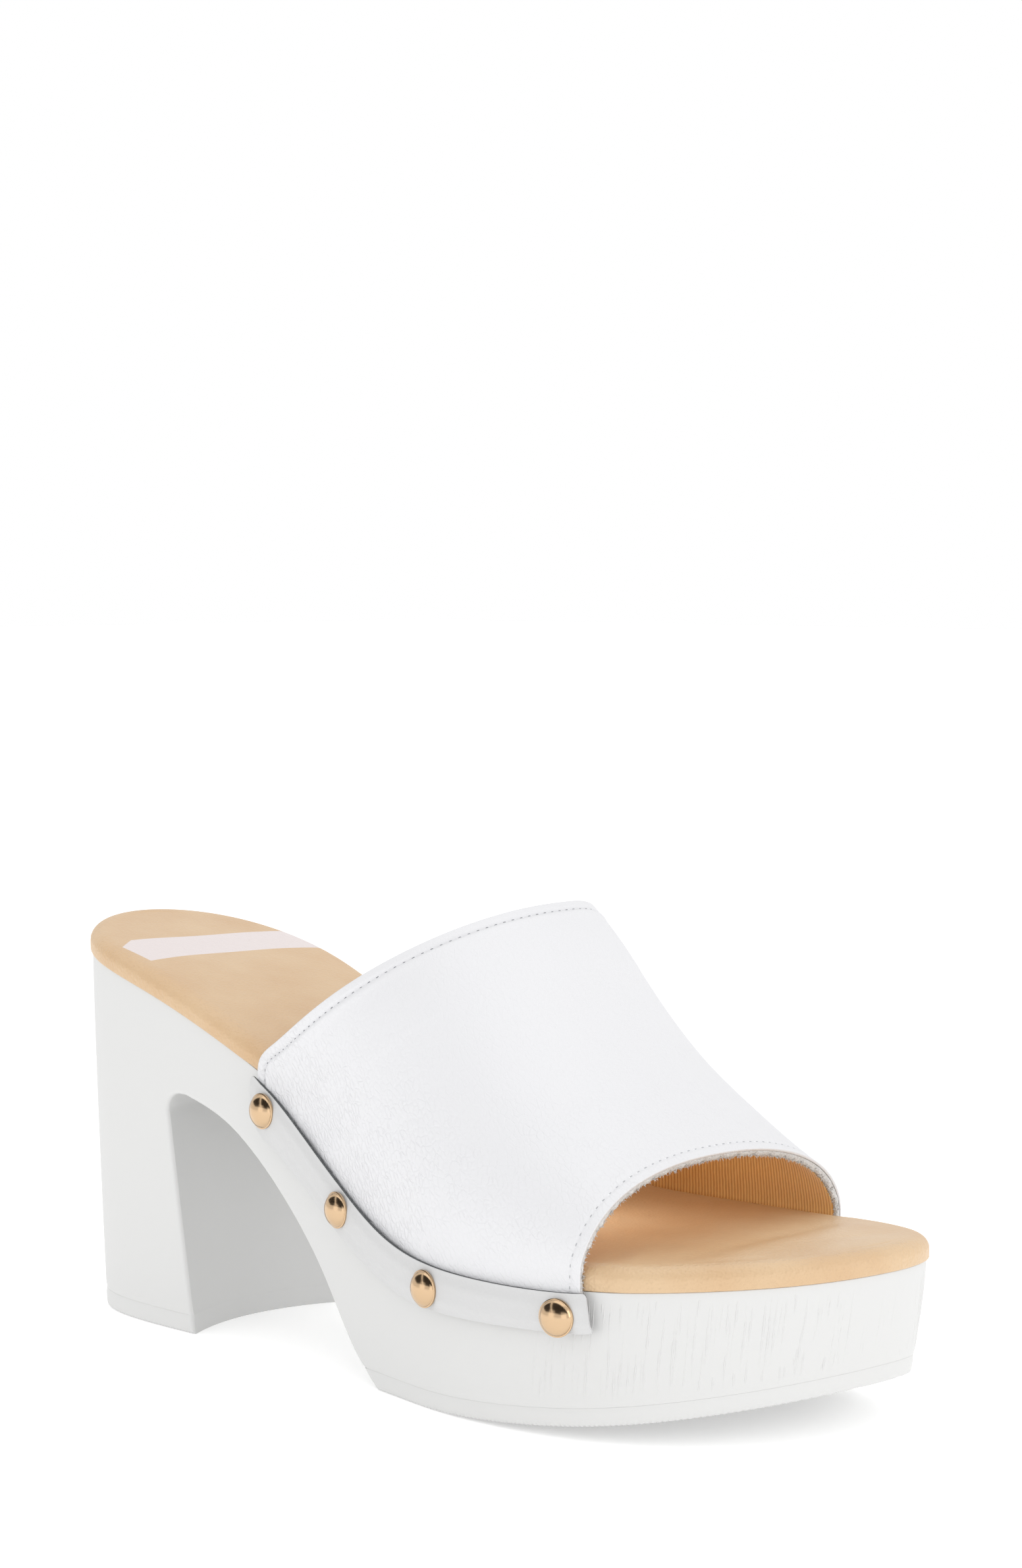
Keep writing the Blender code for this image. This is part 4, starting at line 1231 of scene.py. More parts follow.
@dataclass
class Vamp:
    """White leather vamp on a fuzzy backing, lined with twill; rear edge folded, front edge raw."""
    last: Last
    finishes: Finishes
    wall: float = UPPER_WALL
    instep: float = 0.0393
    skirt: float = 0.0085
    sections: tuple[tuple[float, ...], ...] = (
        (0.00, 0.359, 0.603, 0.100, 0.952, 2.33, 0.064),
        (0.35, 0.528, 0.692, 0.043, 1.000, 2.28, 0.021),
        (0.70, 0.685, 0.766, 0.013, 0.805, 2.25, 0.003),
        (1.00, 0.820, 0.828, -0.013, 0.497, 2.22, -0.012),
    )
    lean: float = 0.82
    inner_bulge: float = 0.9
    thickness: float = 2.5 * MM         # leather, backing and lining together
    leather_share: float = 0.28
    backing_share: float = 0.92
    rear_round: float = 0.45 * MM        # how far the folded rear edge bows out
    recess: float = 1.0 * MM            # lining behind the raw front edge
    hem: float = 2.8 * MM               # rear edge to its stitches
    front_hem: float = 2.6 * MM
    fold: float = 8.0 * MM              # leather turned in behind the rear edge
    skirt_columns: int = 12
    arc_columns: int = 100
    body_rows: int = 90
    # extra rows by the rear and the front edge, in millimetres, close together at the hems' grooves
    rear_rows: tuple[float, ...] = (0.45, 0.65, 0.9, 1.2, 1.45, 1.7, 2.1, 2.4, 2.6, 2.8, 3.0, 3.2, 3.5,
                                    3.9, 4.4, 5.0, 5.8, 7.0)
    front_rows: tuple[float, ...] = (0.15, 0.35, 0.7, 1.2, 1.7, 2.1, 2.4, 2.6, 2.8, 3.1, 3.5, 4.2, 5.2)

    def __post_init__(self) -> None:
        """Fit the curves through the sections."""
        places = [row[0] for row in self.sections]
        self.curves = [spline(places, [row[i] for row in self.sections]) for i in range(1, 7)]

    def side_grid(self, place: Array, side: Side) -> Array:
        """Outer face on one side, from the lower edge up to the crest."""
        last = self.last
        foot, crest, crest_side, rise, fullness, bulge = (c(place)[:, None] for c in self.curves)
        foot_x, crest_x = last.x_of(foot), last.x_of(crest)
        edge_z = last.top(foot_x)
        start_z = edge_z + SEAT + last.insole
        crest_z = start_z + self.instep * rise
        outward = side.value
        stand = SEAT + self.wall
        drop = np.linspace(0.0, 1.0, self.skirt_columns + 1)[None, :-1]
        skirt_z = edge_z - self.skirt + (start_z - edge_z + self.skirt) * drop
        skirt_x = np.broadcast_to(foot_x, skirt_z.shape)
        skirt = np.stack([skirt_x, last.edge(skirt_x, side) + outward * stand, skirt_z], axis=-1)
        angle = np.linspace(0.0, math.pi / 2.0, self.arc_columns + 1)[None, :]
        power = 2.0 / fullness
        up = np.sin(angle) ** power
        out = np.maximum(0.0, np.cos(angle)) ** power
        swell = last.ball * bulge * (self.inner_bulge if side is Side.MEDIAL else 1.0)
        x = foot_x + (crest_x - foot_x) * up ** self.lean
        side_y = last.edge(x, side) + outward * (stand + swell * 4.0 * up * (1.0 - up))
        crest_y = last.ball * crest_side
        arc = np.stack([x, crest_y + (side_y - crest_y) * out, start_z + (crest_z - start_z) * up], axis=-1)
        return np.concatenate([skirt, arc], axis=1)

    def face(self, place: Array) -> Array:
        """Outer face from the medial foot over the crest to the lateral foot."""
        medial = self.side_grid(place, Side.MEDIAL)
        lateral = self.side_grid(place, Side.LATERAL)
        whole = np.concatenate([medial, lateral[:, -2::-1]], axis=1)
        kernel = np.array([1.0, 3.0, 6.0, 7.0, 6.0, 3.0, 1.0])
        kernel /= kernel.sum()
        for _ in range(2):
            padded = np.pad(whole, ((0, 0), (3, 3), (0, 0)), mode="edge")
            smooth = sum(k * padded[:, i:i + whole.shape[1]] for i, k in enumerate(kernel))
            smooth[:, :3], smooth[:, -3:] = whole[:, :3], whole[:, -3:]
            whole = smooth
        return whole

    @staticmethod
    def outward(points: Array) -> Array:
        """Normals of a grid of the face, out of the shoe."""
        normal = grid_normals(points)
        return normal * math.copysign(1.0, normal[len(normal) // 2, normal.shape[1] // 2, 2])

    def by_distance(self, from_rear: Sequence[float], from_front: Sequence[float],
                    rows: int) -> tuple[Array, Array, Array]:
        """The outer face with its rows laid at set distances from the rear and front edges.

        Args:
            from_rear: Rising distances from the rear edge.
            from_front: Rising distances from the front edge.
            rows: Number of even rows between them.

        Returns:
            The points, each point's distance from the rear edge, and from the front edge.
        """
        fine = self.face(np.linspace(0.0, 1.0, 241))
        run = np.concatenate([np.zeros((1, fine.shape[1])),
                              np.cumsum(np.linalg.norm(np.diff(fine, axis=0), axis=2), axis=0)])
        shapes = []
        for end, step in ((0, 1), (-1, -1)):
            along = np.gradient(fine[end], axis=0)
            down = fine[end + step * 4] - fine[end]
            crossing = np.linalg.norm(np.cross(along, down), axis=1)
            lengths = np.linalg.norm(along, axis=1) * np.linalg.norm(down, axis=1)
            shapes.append(np.clip(crossing / lengths, 0.5, 1.0))
        rear_slant, front_slant = shapes
        points = np.empty((len(from_rear) + rows - 1 + len(from_front), fine.shape[1], 3))
        rear = np.empty(points.shape[:2])
        front = np.empty(points.shape[:2])
        for c in range(fine.shape[1]):
            places = spread(0.0, run[-1, c], rows, np.array(from_rear) / rear_slant[c],
                            np.array(from_front) / front_slant[c])
            for k in range(3):
                points[:, c, k] = np.interp(places, run[:, c], fine[:, c, k])
            rear[:, c] = places * rear_slant[c]
            front[:, c] = (run[-1, c] - places) * front_slant[c]
        return points, rear, front

    def relief_of(self, rear: Array, front: Array) -> Array:
        """Height of the leather over the plain face, by its distance from the rear and the front edge."""
        groove = -0.34 * MM * hump(rear - self.hem, 0.42 * MM)
        ridge = 0.22 * MM * hump(rear - self.hem - 1.3 * MM, 0.9 * MM)
        band = 0.10 * MM * (1.0 - ease((rear - self.hem + 0.6 * MM) / (0.6 * MM)))
        under = 0.10 * MM * (1.0 - ease((rear - 18.5 * MM) / (1.2 * MM)))
        groove += -0.22 * MM * hump(front - self.front_hem, 0.40 * MM)
        return groove + ridge + band + under

    def grain_at(self, points: Array) -> Array:
        """Strength of the pebble: strong low on the outer side, weak on the ridge."""
        last = self.last
        height = (points[..., 2] - last.top(points[..., 0])) / (self.instep + last.insole)
        low = 1.0 - ease((height - 0.35) / 0.75)
        lateral = ease((0.02 - points[..., 1]) / 0.05)
        forward = 1.0 - 0.6 * ease((points[..., 0] - 0.105) / 0.045)
        return 0.3 + 0.7 * low * (0.55 + 0.45 * lateral) * forward

    def layer(self, face: Array, normal: Array, depth: Any) -> Array:
        """The face moved inward; the wall thins to the solid's towards the feet."""
        last = self.last
        above = (face[..., 2] - last.top(face[..., 0]) - last.insole) / (8.0 * MM)
        total = self.wall + (self.thickness - self.wall) * ease(above)
        return face - normal * (np.asarray(depth) * total)[..., None]

    @staticmethod
    def shell(draft: MeshDraft, outer: Array, inner: Array, rounds: tuple[Any, Any],
              values: dict[str, Array]) -> None:
        """Close two faces into a wall.

        Args:
            draft: Where the grids go.
            outer: Outer face.
            inner: Inner face, of the same shape.
            rounds: How far the rear and the front edge are rounded out.
            values: Named numbers at the outer face's points.
        """
        draft.grid(outer, **values)
        draft.grid(inner, **values)
        for end, radius in zip((0, -1), rounds):
            inward = outer[1 if end == 0 else -2] - outer[end]
            inward /= np.linalg.norm(inward, axis=1, keepdims=True)
            angle = np.linspace(0.0, math.pi, 9)[:, None, None]
            middle = (outer[end] + inner[end]) / 2.0
            half = (outer[end] - inner[end]) / 2.0
            lip = middle + half * np.cos(angle) - inward * radius * np.sin(angle)
            draft.grid(lip, **{k: np.broadcast_to(v[end], lip.shape[:2]) for k, v in values.items()})
            for column in (0, -1):
                rim = lip[:, column]
                draft.grid(np.stack([rim, np.broadcast_to(middle[column], rim.shape)], axis=1))
        for column in (0, -1):
            middle = (outer[:, column] + inner[:, column]) / 2.0
            draft.grid(np.stack([outer[:, column], middle, inner[:, column]], axis=1))

    def build(self) -> None:
        """Make the leather, the backing and the lining."""
        points, rear, ahead = self.by_distance(np.array(self.rear_rows) * MM, np.array(self.front_rows) * MM,
                                               self.body_rows)
        normal = self.outward(points)
        lifted = points + normal * self.relief_of(rear, ahead)[..., None]
        folded = 1.0 - ease((rear - self.fold) / (0.8 * MM))
        under = self.leather_share + (1.0 - self.leather_share) * folded
        inner = self.layer(points, normal, under)
        draft = MeshDraft()
        self.shell(draft, lifted, inner, (self.rear_round, 0.15 * MM), {"grain": self.grain_at(points)})
        add_piece("vamp_leather", draft.mesh("vamp_leather"), [self.finishes.leather], ["vamp"])
        self.edge_lines = {}
        for name, source, at in (("rear", rear, self.hem), ("front", ahead, self.front_hem)):
            row = int(np.argmin(np.abs(source[:, source.shape[1] // 2] - at)))
            self.edge_lines[name] = (lifted[row], normal[row])
        self.make_backing()
        self.make_lining()

    def make_backing(self) -> None:
        """The fuzzy layer between leather and lining, which shows at the raw front edge."""
        points, rear, ahead = self.by_distance((0.0,), (0.3 * MM, 0.6 * MM, 1.2 * MM, 2.2 * MM), 60)
        normal = self.outward(points)
        keep = np.argmax(rear[:, rear.shape[1] // 2] > self.fold + 1.0 * MM)
        points, normal = points[keep:], normal[keep:]
        outer = self.layer(points, normal, self.leather_share + 0.02)
        inner = self.layer(points, normal, self.backing_share)
        draft = MeshDraft()
        run = np.cumsum(np.linalg.norm(np.diff(points[-1], axis=0, prepend=points[-1, :1]), axis=1))
        lumps = 0.30 + 0.16 * np.sin(run / (0.9 * MM)) + 0.12 * np.sin(run / (0.47 * MM) + 1.3)
        self.shell(draft, outer, inner, (0.2 * MM, lumps[:, None] * MM), {})
        add_piece("vamp_backing", draft.mesh("vamp_backing"), [self.finishes.raw_edge])
        self.raw_line = (outer[-1] * 0.25 + inner[-1] * 0.75, normal[-1])

    def make_lining(self) -> None:
        """The cloth inside, which stops short of both edges."""
        points, rear, ahead = self.by_distance((0.0,), (self.recess, self.recess + 0.5 * MM), 90)
        normal = self.outward(points)
        keep = int(np.argmax(rear[:, rear.shape[1] // 4] > self.fold + 0.4 * MM))
        points, normal = points[keep:], normal[keep:]
        outer = self.layer(points, normal, self.backing_share + 0.02)
        inner = self.layer(points, normal, 1.05)
        draft = MeshDraft()
        self.shell(draft, outer, inner, (0.05 * MM, 0.10 * MM), {})
        add_piece("vamp_lining", draft.mesh("vamp_lining"), [self.finishes.twill])


@dataclass
class Stitching:
    """Rows of sewing, laid along a line on the leather by Geometry Nodes."""
    finishes: Finishes
    hole_finish: bpy.types.Material
    pitch: float = 2.35 * MM
    stitch: float = 1.45 * MM
    thread: float = 0.42 * MM
    hole: float = 0.90 * MM
    sink: float = 0.14 * MM

    def tree(self) -> bpy.types.NodeTree:
        """The node tree: beads at even steps along a line, turned along it and square to the leather."""
        sizes = ("Pitch", "Start", "Bead Length", "Bead Width", "Bead Height", "Sink")
        tree, given = start_tree("stitch_row", {**dict.fromkeys(sizes, "Float"), "Seed": "Int"})
        line = add_node(tree, "GeometryNodeMeshToCurve", {0: given["Line"]})
        cut = add_node(tree, "GeometryNodeTrimCurve", {"Curve": line.outputs[0]}, mode='LENGTH')
        length = add_node(tree, "GeometryNodeCurveLength", {0: line.outputs[0]})
        starts = [s for s in cut.inputs if s.name == "Start" and s.type == 'VALUE']
        ends = [s for s in cut.inputs if s.name == "End" and s.type == 'VALUE']
        tree.links.new(given["Start"], starts[-1])
        tree.links.new(length.outputs[0], ends[-1])
        even = add_node(tree, "GeometryNodeResampleCurve",
                        {"Curve": cut.outputs[0], "Length": given["Pitch"]},
                        mode='LENGTH')
        tangent = add_node(tree, "GeometryNodeInputTangent")
        outward = add_node(tree, "GeometryNodeInputNamedAttribute", {"Name": "outward"},
                           data_type='FLOAT_VECTOR')
        turn = add_node(tree, "FunctionNodeAlignRotationToVector", {"Vector": outward.outputs[0]}, axis='Z')
        turned = add_node(tree, "FunctionNodeAlignRotationToVector",
                          {"Rotation": turn.outputs[0], "Vector": tangent.outputs[0]},
                          axis='X', pivot_axis='Z')
        bead = add_node(tree, "GeometryNodeMeshUVSphere", {"Segments": 10, "Rings": 6, "Radius": 0.5})
        size = add_node(tree, "ShaderNodeCombineXYZ", {0: given["Bead Length"], 1: given["Bead Width"],
                                                       2: given["Bead Height"]})
        jitter = add_node(tree, "FunctionNodeRandomValue", {2: 0.9, 3: 1.1, "Seed": given["Seed"]},
                          data_type='FLOAT')
        scaled = add_node(tree, "ShaderNodeVectorMath", {0: size.outputs[0], "Scale": jitter.outputs[1]},
                          operation='SCALE')
        down = add_node(tree, "ShaderNodeMath", {0: given["Sink"], 1: -1.0}, operation='MULTIPLY')
        shift = add_node(tree, "ShaderNodeVectorMath", {0: outward.outputs[0], "Scale": down.outputs[0]},
                         operation='SCALE')
        lowered = add_node(tree, "GeometryNodeSetPosition",
                           {"Geometry": even.outputs[0], "Offset": shift.outputs[0]})
        placed = add_node(tree, "GeometryNodeInstanceOnPoints",
                          {"Points": lowered.outputs[0], "Instance": bead.outputs[0],
                           "Rotation": turned.outputs[0], "Scale": scaled.outputs[0]})
        return end_tree(tree, placed, given)

    def sew(self, name: str, line: tuple[Array, Array]) -> None:
        """Lay thread and needle holes along a line of points with their outward directions."""
        tree = self.tree()
        common = {"Pitch": self.pitch, "Seed": 7}
        thread = {"Start": 0.0, "Bead Length": self.stitch, "Bead Width": self.thread,
                  "Bead Height": self.thread * 0.8, "Sink": self.sink, "Finish": self.finishes.thread}
        # the holes are flat dark beads on the leather: painted shade of the needle holes
        hole = {"Start": self.pitch / 2.0, "Bead Length": self.hole, "Bead Width": self.hole * 0.5,
                "Bead Height": 0.16 * MM, "Sink": 0.02 * MM, "Finish": self.hole_finish}
        for part, given in (("thread", thread), ("holes", hole)):
            mesh = grow_along(tree, f"{name}_{part}", line[:1], line[1:], {**common, **given})
            add_piece(f"{name}_{part}", mesh, [given["Finish"]])


@dataclass
class Fray:
    """Loose fibres along the raw front edge, grown by Geometry Nodes."""
    finishes: Finishes
    count: int = 1500
    length: float = 0.75 * MM
    thickness: float = 0.22 * MM

    def tree(self) -> bpy.types.NodeTree:
        """The node tree: thin cones at even points along the edge, each turned at random."""
        sizes = dict.fromkeys(("Fibre Length", "Fibre Thickness", "Spread"), "Float")
        tree, given = start_tree("frayed_edge", {"Count": "Int", **sizes, "Seed": "Int"})
        line = add_node(tree, "GeometryNodeMeshToCurve", {0: given["Line"]})
        even = add_node(tree, "GeometryNodeResampleCurve",
                        {"Curve": line.outputs[0], "Count": given["Count"]},
                        mode='COUNT')
        fibre = add_node(tree, "GeometryNodeMeshCone",
                         {"Vertices": 4, "Radius Top": 0.02, "Radius Bottom": 0.5, "Depth": 1.0})
        outward = add_node(tree, "GeometryNodeInputNamedAttribute", {"Name": "outward"},
                           data_type='FLOAT_VECTOR')
        stray = add_node(tree, "FunctionNodeRandomValue",
                         {0: (-1.0, -1.0, -1.0), 1: (1.0, 1.0, 1.0), "Seed": given["Seed"]},
                         data_type='FLOAT_VECTOR')
        away = add_node(tree, "ShaderNodeVectorMath", {0: stray.outputs[0], "Scale": given["Spread"]},
                        operation='SCALE')
        inward = add_node(tree, "ShaderNodeVectorMath", {0: outward.outputs[0], "Scale": -0.35},
                          operation='SCALE')
        aim = add_node(tree, "ShaderNodeVectorMath", {0: stray.outputs[0], 1: inward.outputs[0]},
                       operation='ADD')
        moved = add_node(tree, "GeometryNodeSetPosition", {"Geometry": even.outputs[0],
                                                           "Offset": away.outputs[0]})
        turn = add_node(tree, "FunctionNodeAlignRotationToVector", {"Vector": aim.outputs[0]}, axis='Z')
        vary = add_node(tree, "FunctionNodeRandomValue", {2: 0.4, 3: 1.2, "Seed": given["Seed"]},
                        data_type='FLOAT')
        long = add_node(tree, "ShaderNodeMath", {0: given["Fibre Length"], 1: vary.outputs[1]},
                        operation='MULTIPLY')
        size = add_node(tree, "ShaderNodeCombineXYZ",
                        {0: given["Fibre Thickness"], 1: given["Fibre Thickness"], 2: long.outputs[0]})
        placed = add_node(tree, "GeometryNodeInstanceOnPoints",
                          {"Points": moved.outputs[0], "Instance": fibre.outputs["Mesh"],
                           "Rotation": turn.outputs[0], "Scale": size.outputs[0]})
        return end_tree(tree, placed, given)

    def build(self, line: tuple[Array, Array]) -> None:
        """Grow the fibres along the edge."""
        given = {"Count": self.count, "Fibre Length": self.length, "Fibre Thickness": self.thickness,
                 "Spread": 0.35 * MM, "Seed": 3, "Finish": self.finishes.raw_edge}
        mesh = grow_along(self.tree(), "front_edge_fibres", line[:1], line[1:], given)
        add_piece("front_edge_fibres", mesh, [self.finishes.raw_edge])


@dataclass
class Strip:
    """Leather strip nailed over the vamp's lower edge, its upper edge cut and dark: partly dyed, partly
    painted shade of the gap beside the vamp.
    """
    last: Last
    finishes: Finishes
    side: Side
    ends: tuple[float, float] = STRIP_ENDS_ALONG
    studs: tuple[float, ...] = STUDS_ALONG
    stand: float = SEAT + UPPER_WALL + SEAT
    thickness: float = STRIP_THICKNESS
    width_rear: float = 0.0130
    width_front: float = 0.0088
    gape: float = 0.30 * MM             # how far the upper edge springs off between studs
    corners: tuple[float, float] = (1.6 * MM, 0.8 * MM)     # rounded corners, rear and front
    edge_round: float = 0.12 * MM
    skive: tuple[float, float] = (0.35, 5.0 * MM)           # thinned at both ends, over this run
    top_thin: tuple[float, float] = (0.55, 3.5 * MM)        # and along the upper edge
    press: float = 1.2 * MM             # how far the lower edge is drawn to the sole
    press_from: float = 6.5 * MM
    slant: float = 1.6 * MM             # of the front end, forward as it goes down
    columns: int = 260
    rows: int = 24

    def width(self, share: Array) -> Array:
        """Width of the strip."""
        low, high = self.ends
        return self.width_rear + (self.width_front - self.width_rear) * ease((share - low) / (high - low))

    def springing(self, share: Array) -> Array:
        """How far the upper edge stands off, 0 at the studs and ends and 1 between them."""
        lift = np.zeros_like(share)
        for first, second, reach in zip(self.studs, self.studs[1:], (1.0, 0.9, 0.35)):
            middle = np.clip((share - first) / (second - first), 0.0, 1.0)
            lift += reach * np.sin(math.pi * middle) ** 1.5
        return lift

    def build(self) -> None:
        """Make the strip as a closed wall with rounded edges."""
        last = self.last
        low, high = self.ends
        near = np.array([0.0, 0.04, 0.12, 0.3, 0.6, 1.0, 1.5, 2.0]) * MM / last.length
        share = spread(low, high, self.columns, near, near)
        x = last.x_of(share)
        normal = last.plan_normal(last.angle_of(x, self.side))
        edge = np.stack([x, last.edge(x, self.side)], axis=-1)
        top = last.top(x)
        width = self.width(share)
        from_rear = (share - low) * last.length
        from_front = (high - share) * last.length
        end_gap = np.minimum(from_rear, from_front)
        corner = np.where(from_rear < from_front, *self.corners)
        short = np.clip(corner - end_gap, 0.0, None)
        cut = corner - np.sqrt(np.clip(corner ** 2 - short ** 2, 0.0, None))
        ends = (0.0, 0.004, 0.012, 0.03, 0.06)
        parts = spread(0.0, 1.0, self.rows, ends, ends)
        z = np.array([top - cut - (width - 2.0 * cut) * part for part in parts])
        down = top - z
        lift = self.gape * self.springing(share) * (1.0 - ease(down / width / 0.55))
        lift = lift - self.press * ease((down - self.press_from) / (width - self.press_from))
        thin, run = self.skive
        top_share, top_run = self.top_thin
        thick = self.thickness * (thin + (1.0 - thin) * ease(np.minimum(from_rear, from_front * 1.6) / run))
        thick = thick * (top_share + (1.0 - top_share) * ease(down / top_run))
        inner = np.empty(z.shape + (3,))
        outer = np.empty_like(inner)
        border = np.minimum(np.minimum(z - z[-1], z[0] - z), end_gap)
        soft = rounding(np.maximum(border, 0.0), self.edge_round)
        forward = self.slant * (down / width - 0.5) * (1.0 - ease(from_front / (9.0 * MM)))
        for grid, depth in ((inner, soft * 0.3), (outer, thick - soft)):
            away = self.stand + lift + depth
            grid[..., 0] = edge[:, 0] + normal[:, 0] * away + forward
            grid[..., 1] = edge[:, 1] + normal[:, 1] * away
            grid[..., 2] = z
        grain = np.full(down.shape, 0.5)
        draft = MeshDraft()
        draft.grid(outer, grain=grain)
        draft.grid(inner, grain=grain)
        # slot 1 gives the upper edge its dark grey: partly dye, partly painted shade of the gap beside the
        # vamp
        for first, second, slot in ((outer[0], inner[0], 1), (outer[-1], inner[-1], 0),
                                    (outer[:, 0], inner[:, 0], 0), (outer[:, -1], inner[:, -1], 0)):
            draft.grid(np.stack([first, (first + second) / 2.0, second], axis=1), slot=slot)
        name = f"strip_{self.side.word}"
        add_piece(name, draft.mesh(name), [self.finishes.strip, self.finishes.cut_edge],
                  [f"welt_strip_{self.side.word}"])


@dataclass
class Studs:
    """Domed studs through both strips, set by Geometry Nodes."""
    last: Last
    finishes: Finishes
    along: tuple[float, ...] = STUDS_ALONG
    depth: float = 0.0053
    stand: float = 1.7 * SEAT + UPPER_WALL + STRIP_THICKNESS
    diameter: float = 0.0080
    rim: float = 0.3 * MM
    rim_height: float = 0.5 * MM
    dome_height: float = 2.6 * MM

    def head(self) -> bpy.types.Object:
        """One turned head, its back at z = 0, as the object that the nodes repeat."""
        radius = self.diameter / 2.0
        edge = radius + self.rim
        crown = self.dome_height - self.rim_height
        profile = [(radius * math.sin(a), self.rim_height + crown * math.cos(a) ** 1.35)
                   for a in np.linspace(0.0, math.pi / 2.0, 17)[:-1]]
        profile += [(radius, self.rim_height * 1.05), (edge - 0.12 * MM, self.rim_height),
                    (edge - 0.03 * MM, self.rim_height * 0.85), (edge, self.rim_height * 0.5),
                    (edge - 0.05 * MM, 0.0), (0.0, 0.0)]
        turns = np.linspace(0.0, 2.0 * math.pi, 49)
        points = np.array([[(r * math.cos(t), r * math.sin(t), z) for t in turns] for r, z in profile])
        draft = MeshDraft()
        draft.grid(points)
        head = bpy.data.objects.new("stud_head_source", draft.mesh("stud_head_source", 30.0))
        bpy.context.scene.collection.objects.link(head)
        return head

    def tree(self) -> bpy.types.NodeTree:
        """The node tree: the head at each point, facing outward."""
        tree, given = start_tree("stud_row", {"Head": "Object", "Head Scale": "Float"})
        head = add_node(tree, "GeometryNodeObjectInfo", {"Object": given["Head"]})
        points = add_node(tree, "GeometryNodeMeshToPoints", {0: given["Line"]})
        outward = add_node(tree, "GeometryNodeInputNamedAttribute", {"Name": "outward"},
                           data_type='FLOAT_VECTOR')
        turn = add_node(tree, "FunctionNodeAlignRotationToVector", {"Vector": outward.outputs[0]}, axis='Z')
        placed = add_node(tree, "GeometryNodeInstanceOnPoints",
                          {"Points": points.outputs[0], "Instance": head.outputs["Geometry"],
                           "Rotation": turn.outputs[0], "Scale": given["Head Scale"]})
        return end_tree(tree, placed, given)

    def build(self) -> None:
        """Set four studs on each side."""
        head = self.head()
        tree = self.tree()
        for side in Side:
            x = self.last.x_of(np.array(self.along))
            normal = self.last.plan_normal(self.last.angle_of(x, side))
            outward = np.column_stack([normal, np.zeros(len(x))])
            seat = np.column_stack([x, self.last.edge(x, side), self.last.top(x) - self.depth])
            given = {"Head": head, "Head Scale": 1.0, "Finish": self.finishes.gold}
            mesh = grow_along(tree, f"studs_{side.word}", [seat + outward * self.stand], [outward], given)
            mesh.set_sharp_from_angle(angle=math.radians(40.0))
            nodes = [f"stud_{side.word}_{number}" for number in range(1, len(x) + 1)]
            add_piece(f"studs_{side.word}", mesh, [self.finishes.gold], nodes)
        bpy.data.objects.remove(head)


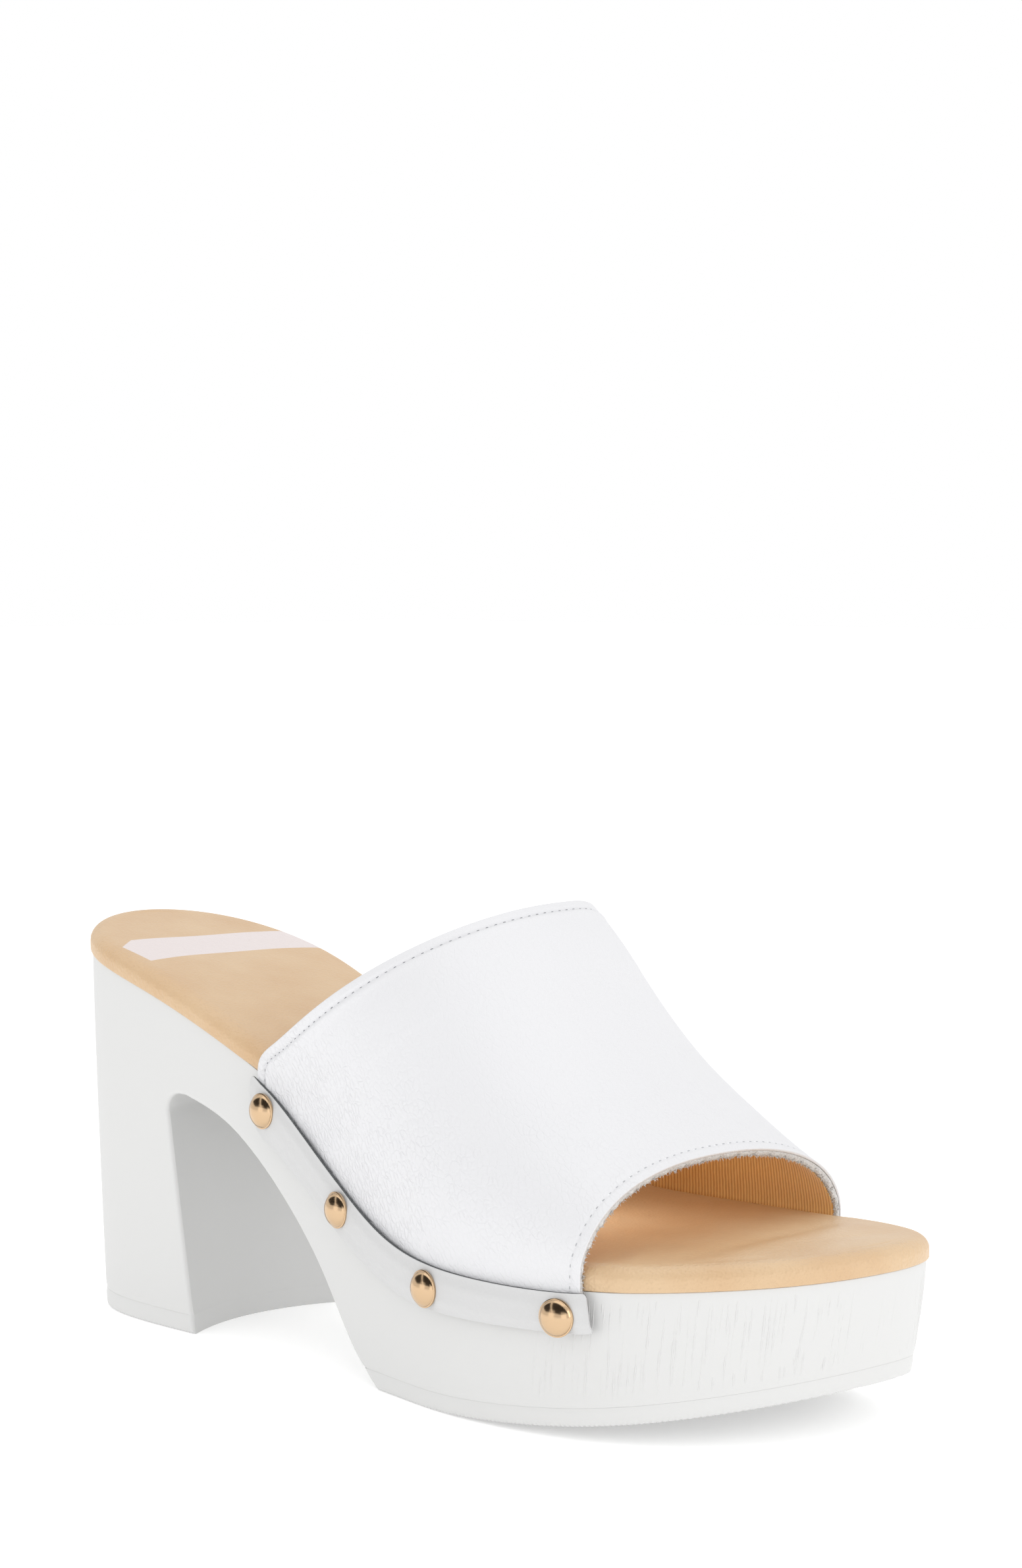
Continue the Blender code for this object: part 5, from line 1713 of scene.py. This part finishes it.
@dataclass
class Studio:
    """White sweep, soft light and the photograph's camera."""
    finishes: Finishes
    azimuth: float = 43.88
    elevation: float = 3.68
    distance: float = 0.804
    target: tuple[float, float, float] = (0.1254, -0.0177, 0.140)
    focal: float = 5356.0 / 2380.0 * 36.0
    floor_size: float = 14.0
    cards: tuple[tuple[float, float], ...] = ((-2.8, -0.50), (-0.30, 2.0))      # from x to x
    card_reach: tuple[float, float] = (-2.6, -0.30)
    card_height: float = 0.8
    glossy_from: float = 0.5            # smaller lamps only fill and aren't mirrored
    # name, place, side length, watts, point aimed at
    lamps: tuple[tuple[Any, ...], ...] = (
        ("overhead", (0.1, 0.1, 1.6), 1.6, 4.0, (0.09, 0.0, 0.05)),
        ("toe side", (1.5, 0.3, 0.55), 0.9, 3.4, (0.09, 0.0, 0.05)),
        ("front", (1.08, -0.85, 0.28), 0.7, 0.9, (0.09, 0.0, 0.05)),
        ("inside the vamp", (0.132, -0.005, 0.060), 0.02, 0.006, (0.200, -0.005, 0.045)),
        ("under the arch", (0.16, -0.45, 0.03), 0.20, 0.10, (0.05, 0.0, 0.05)),
        ("outer side", (-0.2, -1.3, 0.35), 0.7, 0.8, (0.09, 0.0, 0.05)),
    )

    def toward_camera(self) -> Vector:
        """Unit vector from the shoe to the camera."""
        a, e = math.radians(self.azimuth), math.radians(self.elevation)
        return Vector((math.sin(a) * math.cos(e), -math.cos(a) * math.cos(e), math.sin(e)))

    def build_camera(self) -> None:
        """Place the camera."""
        data = bpy.data.cameras.new("camera")
        data.lens = self.focal
        data.sensor_width = 36.0
        data.clip_start = 0.01
        camera = bpy.data.objects.new("camera", data)
        away = self.toward_camera()
        camera.location = Vector(self.target) + away * self.distance
        camera.rotation_euler = away.to_track_quat('Z', 'Y').to_euler()
        bpy.context.scene.collection.objects.link(camera)
        bpy.context.scene.camera = camera

    def build_floor(self) -> None:
        """Lay the floor under the shoe."""
        half = self.floor_size / 2.0
        mesh = bmesh.new()
        bmesh.ops.create_grid(mesh, x_segments=8, y_segments=8, size=half)
        data = bpy.data.meshes.new("floor")
        mesh.to_mesh(data)
        mesh.free()
        data.materials.append(self.finishes.floor)
        floor = bpy.data.objects.new("floor", data)
        bpy.context.scene.collection.objects.link(floor)

    def build_cards(self) -> None:
        """Hang two dark cards over the camera with a bright slot between, seen in the metal only."""
        for number, (low, high) in enumerate(self.cards):
            data = bpy.data.meshes.new(f"dark_card_{number}")
            corners = [(x, y, self.card_height) for x in (low, high) for y in self.card_reach]
            data.from_pydata(corners, [], [(0, 1, 3, 2)])
            data.materials.append(self.finishes.card)
            card = bpy.data.objects.new(data.name, data)
            for kind in ("camera", "diffuse", "transmission", "volume_scatter", "shadow"):
                setattr(card, f"visible_{kind}", False)
            bpy.context.scene.collection.objects.link(card)

    def add_area(self, name: str, place: tuple[float, float, float], size: float, power: float,
                 target: tuple[float, float, float]) -> None:
        """Add a square soft box aimed at the shoe.

        Args:
            name: What the lamp is called.
            place: Its centre.
            size: Length of its side.
            power: In watts.
            target: The point that it faces.
        """
        light = bpy.data.lights.new(name, 'AREA')
        light.shape = 'SQUARE'
        light.size = size
        light.energy = power
        lamp = bpy.data.objects.new(name, light)
        lamp.visible_camera = False
        lamp.visible_glossy = size > self.glossy_from
        lamp.location = place
        aim = Vector(place) - Vector(target)
        lamp.rotation_euler = aim.to_track_quat('Z', 'Y').to_euler()
        bpy.context.scene.collection.objects.link(lamp)

    def build_light(self) -> None:
        """Light the shoe from all round, most from above, with two small lamps where little gets in."""
        world = bpy.data.worlds.new("studio")
        world.use_nodes = True
        world.node_tree.nodes["Background"].inputs["Color"].default_value = linear("#FFFFFF")
        world.node_tree.nodes["Background"].inputs["Strength"].default_value = 1.0
        bpy.context.scene.world = world
        for lamp in self.lamps:
            self.add_area(*lamp)
        bpy.context.scene.view_settings.view_transform = 'Standard'

    def build(self) -> None:
        """Set up the studio."""
        self.build_camera()
        self.build_floor()
        self.build_cards()
        self.build_light()


def main() -> None:
    """Build the shoe's looks, then the studio."""
    logging.basicConfig(level=logging.INFO, format="%(name)s: %(message)s")
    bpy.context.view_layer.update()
    last = Last()
    finishes = Finishes.build()
    sole = Sole(last, finishes)
    sole.build()
    WoodGrain(last, sole, finishes).build()
    Insole(last, finishes).build()
    vamp = Vamp(last, finishes)
    vamp.build()
    Stitching(finishes, finishes.hole).sew("rear_hem", vamp.edge_lines["rear"])
    Stitching(finishes, finishes.shallow_hole).sew("front_hem", vamp.edge_lines["front"])
    Fray(finishes).build(vamp.raw_line)
    for side in Side:
        Strip(last, finishes, side).build()
    Studs(last, finishes).build()
    Studio(finishes).build()


if __name__ == "__main__":
    main()
